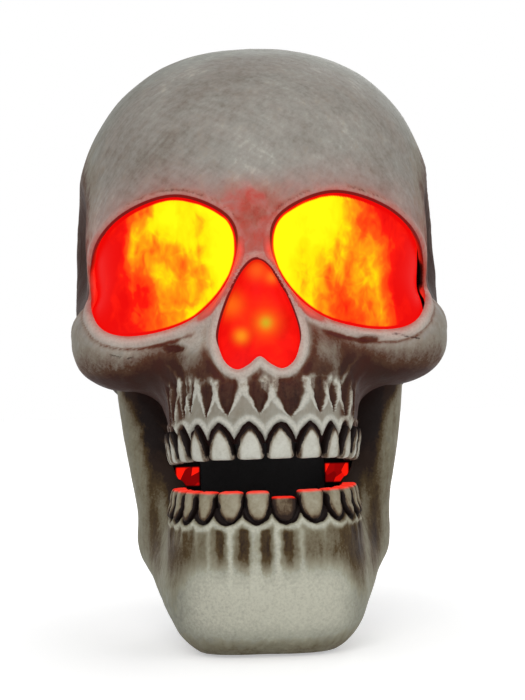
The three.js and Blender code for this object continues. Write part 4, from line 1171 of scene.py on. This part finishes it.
finishes = {
    "black_plastic": plainFinish("blackMoulding", dict(
        plastic, dark="0f0e0f", light="1b1a1b", rough=(0.5, 0.68), gloss=0.3, grain=520, bump=0.35)),
    "black_steel": plainFinish("blackPowderCoat", dict(
        plastic, dark="060606", light="0e0d0e", rough=(0.5, 0.66), gloss=0.18, grain=340, bump=0.5)),
    "red_plastic": plainFinish("redMoulding", dict(
        plastic, dark="961410", light="bc1e16", rough=(0.34, 0.5), gloss=0.45, grain=420, bump=0.2)),
    "plate_steel": plainFinish("zincSheet", dict(
        metal, dark="8e9294", light="b6b9ba", rough=(0.3, 0.46), along=(1, 0.06, 1))),
    "screw_steel": plainFinish("zincScrew", dict(
        metal, dark="808284", light="acaeb0", rough=(0.26, 0.42), along=(1, 1, 0.2))),
    "bush_bronze": plainFinish("oiledBronze", dict(
        metal, dark="846232", light="b28e52", rough=(0.3, 0.46), along=(0.1, 1, 1))),
    "bright_metal": plainFinish("bareAluminium", dict(
        metal, dark="a4a7aa", light="c8cacc", rough=(0.3, 0.48), along=(1, 0.1, 1))),
    "lens_glass": clearLens("projectorLens", {"dark": "deeaee", "light": "f0f6f8", "rough": (0.03, 0.08)}),
    "circuit_board": circuit("circuitBoard", {
        "dark": "124224", "light": "1c5c34", "trace": "347c48", "pad": "c4b26e", "cells": 150}),
    "nose_lamp": lampGlow("noseLamp", {
        "cells": 300, "haze": 200, "strength": 1.0, "deep": "f0460a", "mid": "ff8214", "hot": "ffbe3c"}),
    "mouth_lamp": mouthLight("mouthLight", {
        "facets": 92, "across": (0.067, 0.093), "upright": (0.157, 0.178), "face": -0.0255,
        "deep": "780304", "mid": "d60c08", "hot": "ff1c0c", "sheet": "080505"}),
}
slotOf = {s["node"]: s["material_slot"] for s in frame["record"]["subparts"]}
for nodeName, nodeObject in frame["nodes"].items():
    if slotOf[nodeName] in finishes:
        nodeObject.data.materials.clear()
        nodeObject.data.materials.append(finishes[slotOf[nodeName]])
print("finishes set")

# a plain white floor, a white backdrop seen by the camera, and soft lamps
stage = {"size": 6.0, "white": "eeeeee", "rough": 0.9, "near": 0.42, "far": 0.8, "ambient": 0.4}


# 1 for rays that come from the camera, straight or by way of glass or a mirror
def seenRays(g):
    path = g.node("LightPath")
    seen = g.calc("ADD", path.outputs["Is Camera Ray"], path.outputs["Is Glossy Ray"], True)
    return g.calc("ADD", seen, path.outputs["Is Transmission Ray"], True)


def makeStage(v):
    bm = bmesh.new()
    bmesh.ops.create_grid(bm, x_segments=2, y_segments=2, size=v["size"])
    mesh = bpy.data.meshes.new("floor")
    bm.to_mesh(mesh)
    bm.free()
    floor = bpy.data.objects.new("floor", mesh)
    scene.collection.objects.link(floor)
    g = newLook("floorPaper")
    g.set("Base Color", v["white"])
    g.set("Roughness", v["rough"])
    g.set("Emission Color", white)
    away = g.node("VectorMath")
    away.operation = "LENGTH"
    g.put(away.inputs[0], g.position())
    lift = g.ramp(g.times(away.outputs["Value"], 0.5), [(0.1, grey(v["near"])), (0.45, grey(v["far"]))])
    g.set("Emission Strength", g.times(seenRays(g), lift))
    mesh.materials.append(g.owner)
    scene.world = bpy.data.worlds.new("studio")
    g = NodeTree(scene.world, "Background")
    g.set("Color", white)
    g.set("Strength", g.plus(v["ambient"], g.times(seenRays(g), 1 - v["ambient"])))


def softLamp(name, place, target, size, power):
    data = bpy.data.lights.new(name, "AREA")
    data.shape = "SQUARE"
    data.size = size
    data.energy = power
    lamp = bpy.data.objects.new(name, data)
    facing = (Vector(target) - Vector(place)).to_track_quat("-Z", "Y").to_matrix().to_4x4()
    lamp.matrix_world = Matrix.Translation(place) @ facing
    scene.collection.objects.link(lamp)


makeStage(stage)
# place, target, size and power
lamps = {"key": ((-0.5, -2.2, 1.5), (0, 0, 0.3), 1.4, 22), "fill": ((1.8, -1.6, 0.9), (0, 0, 0.3), 1.6, 10),
         "rear": ((0.6, 2.2, 1.8), (0, 0, 0.35), 1.6, 18)}
for lampName, settings in lamps.items():
    softLamp(lampName, *settings)
print("stage set")
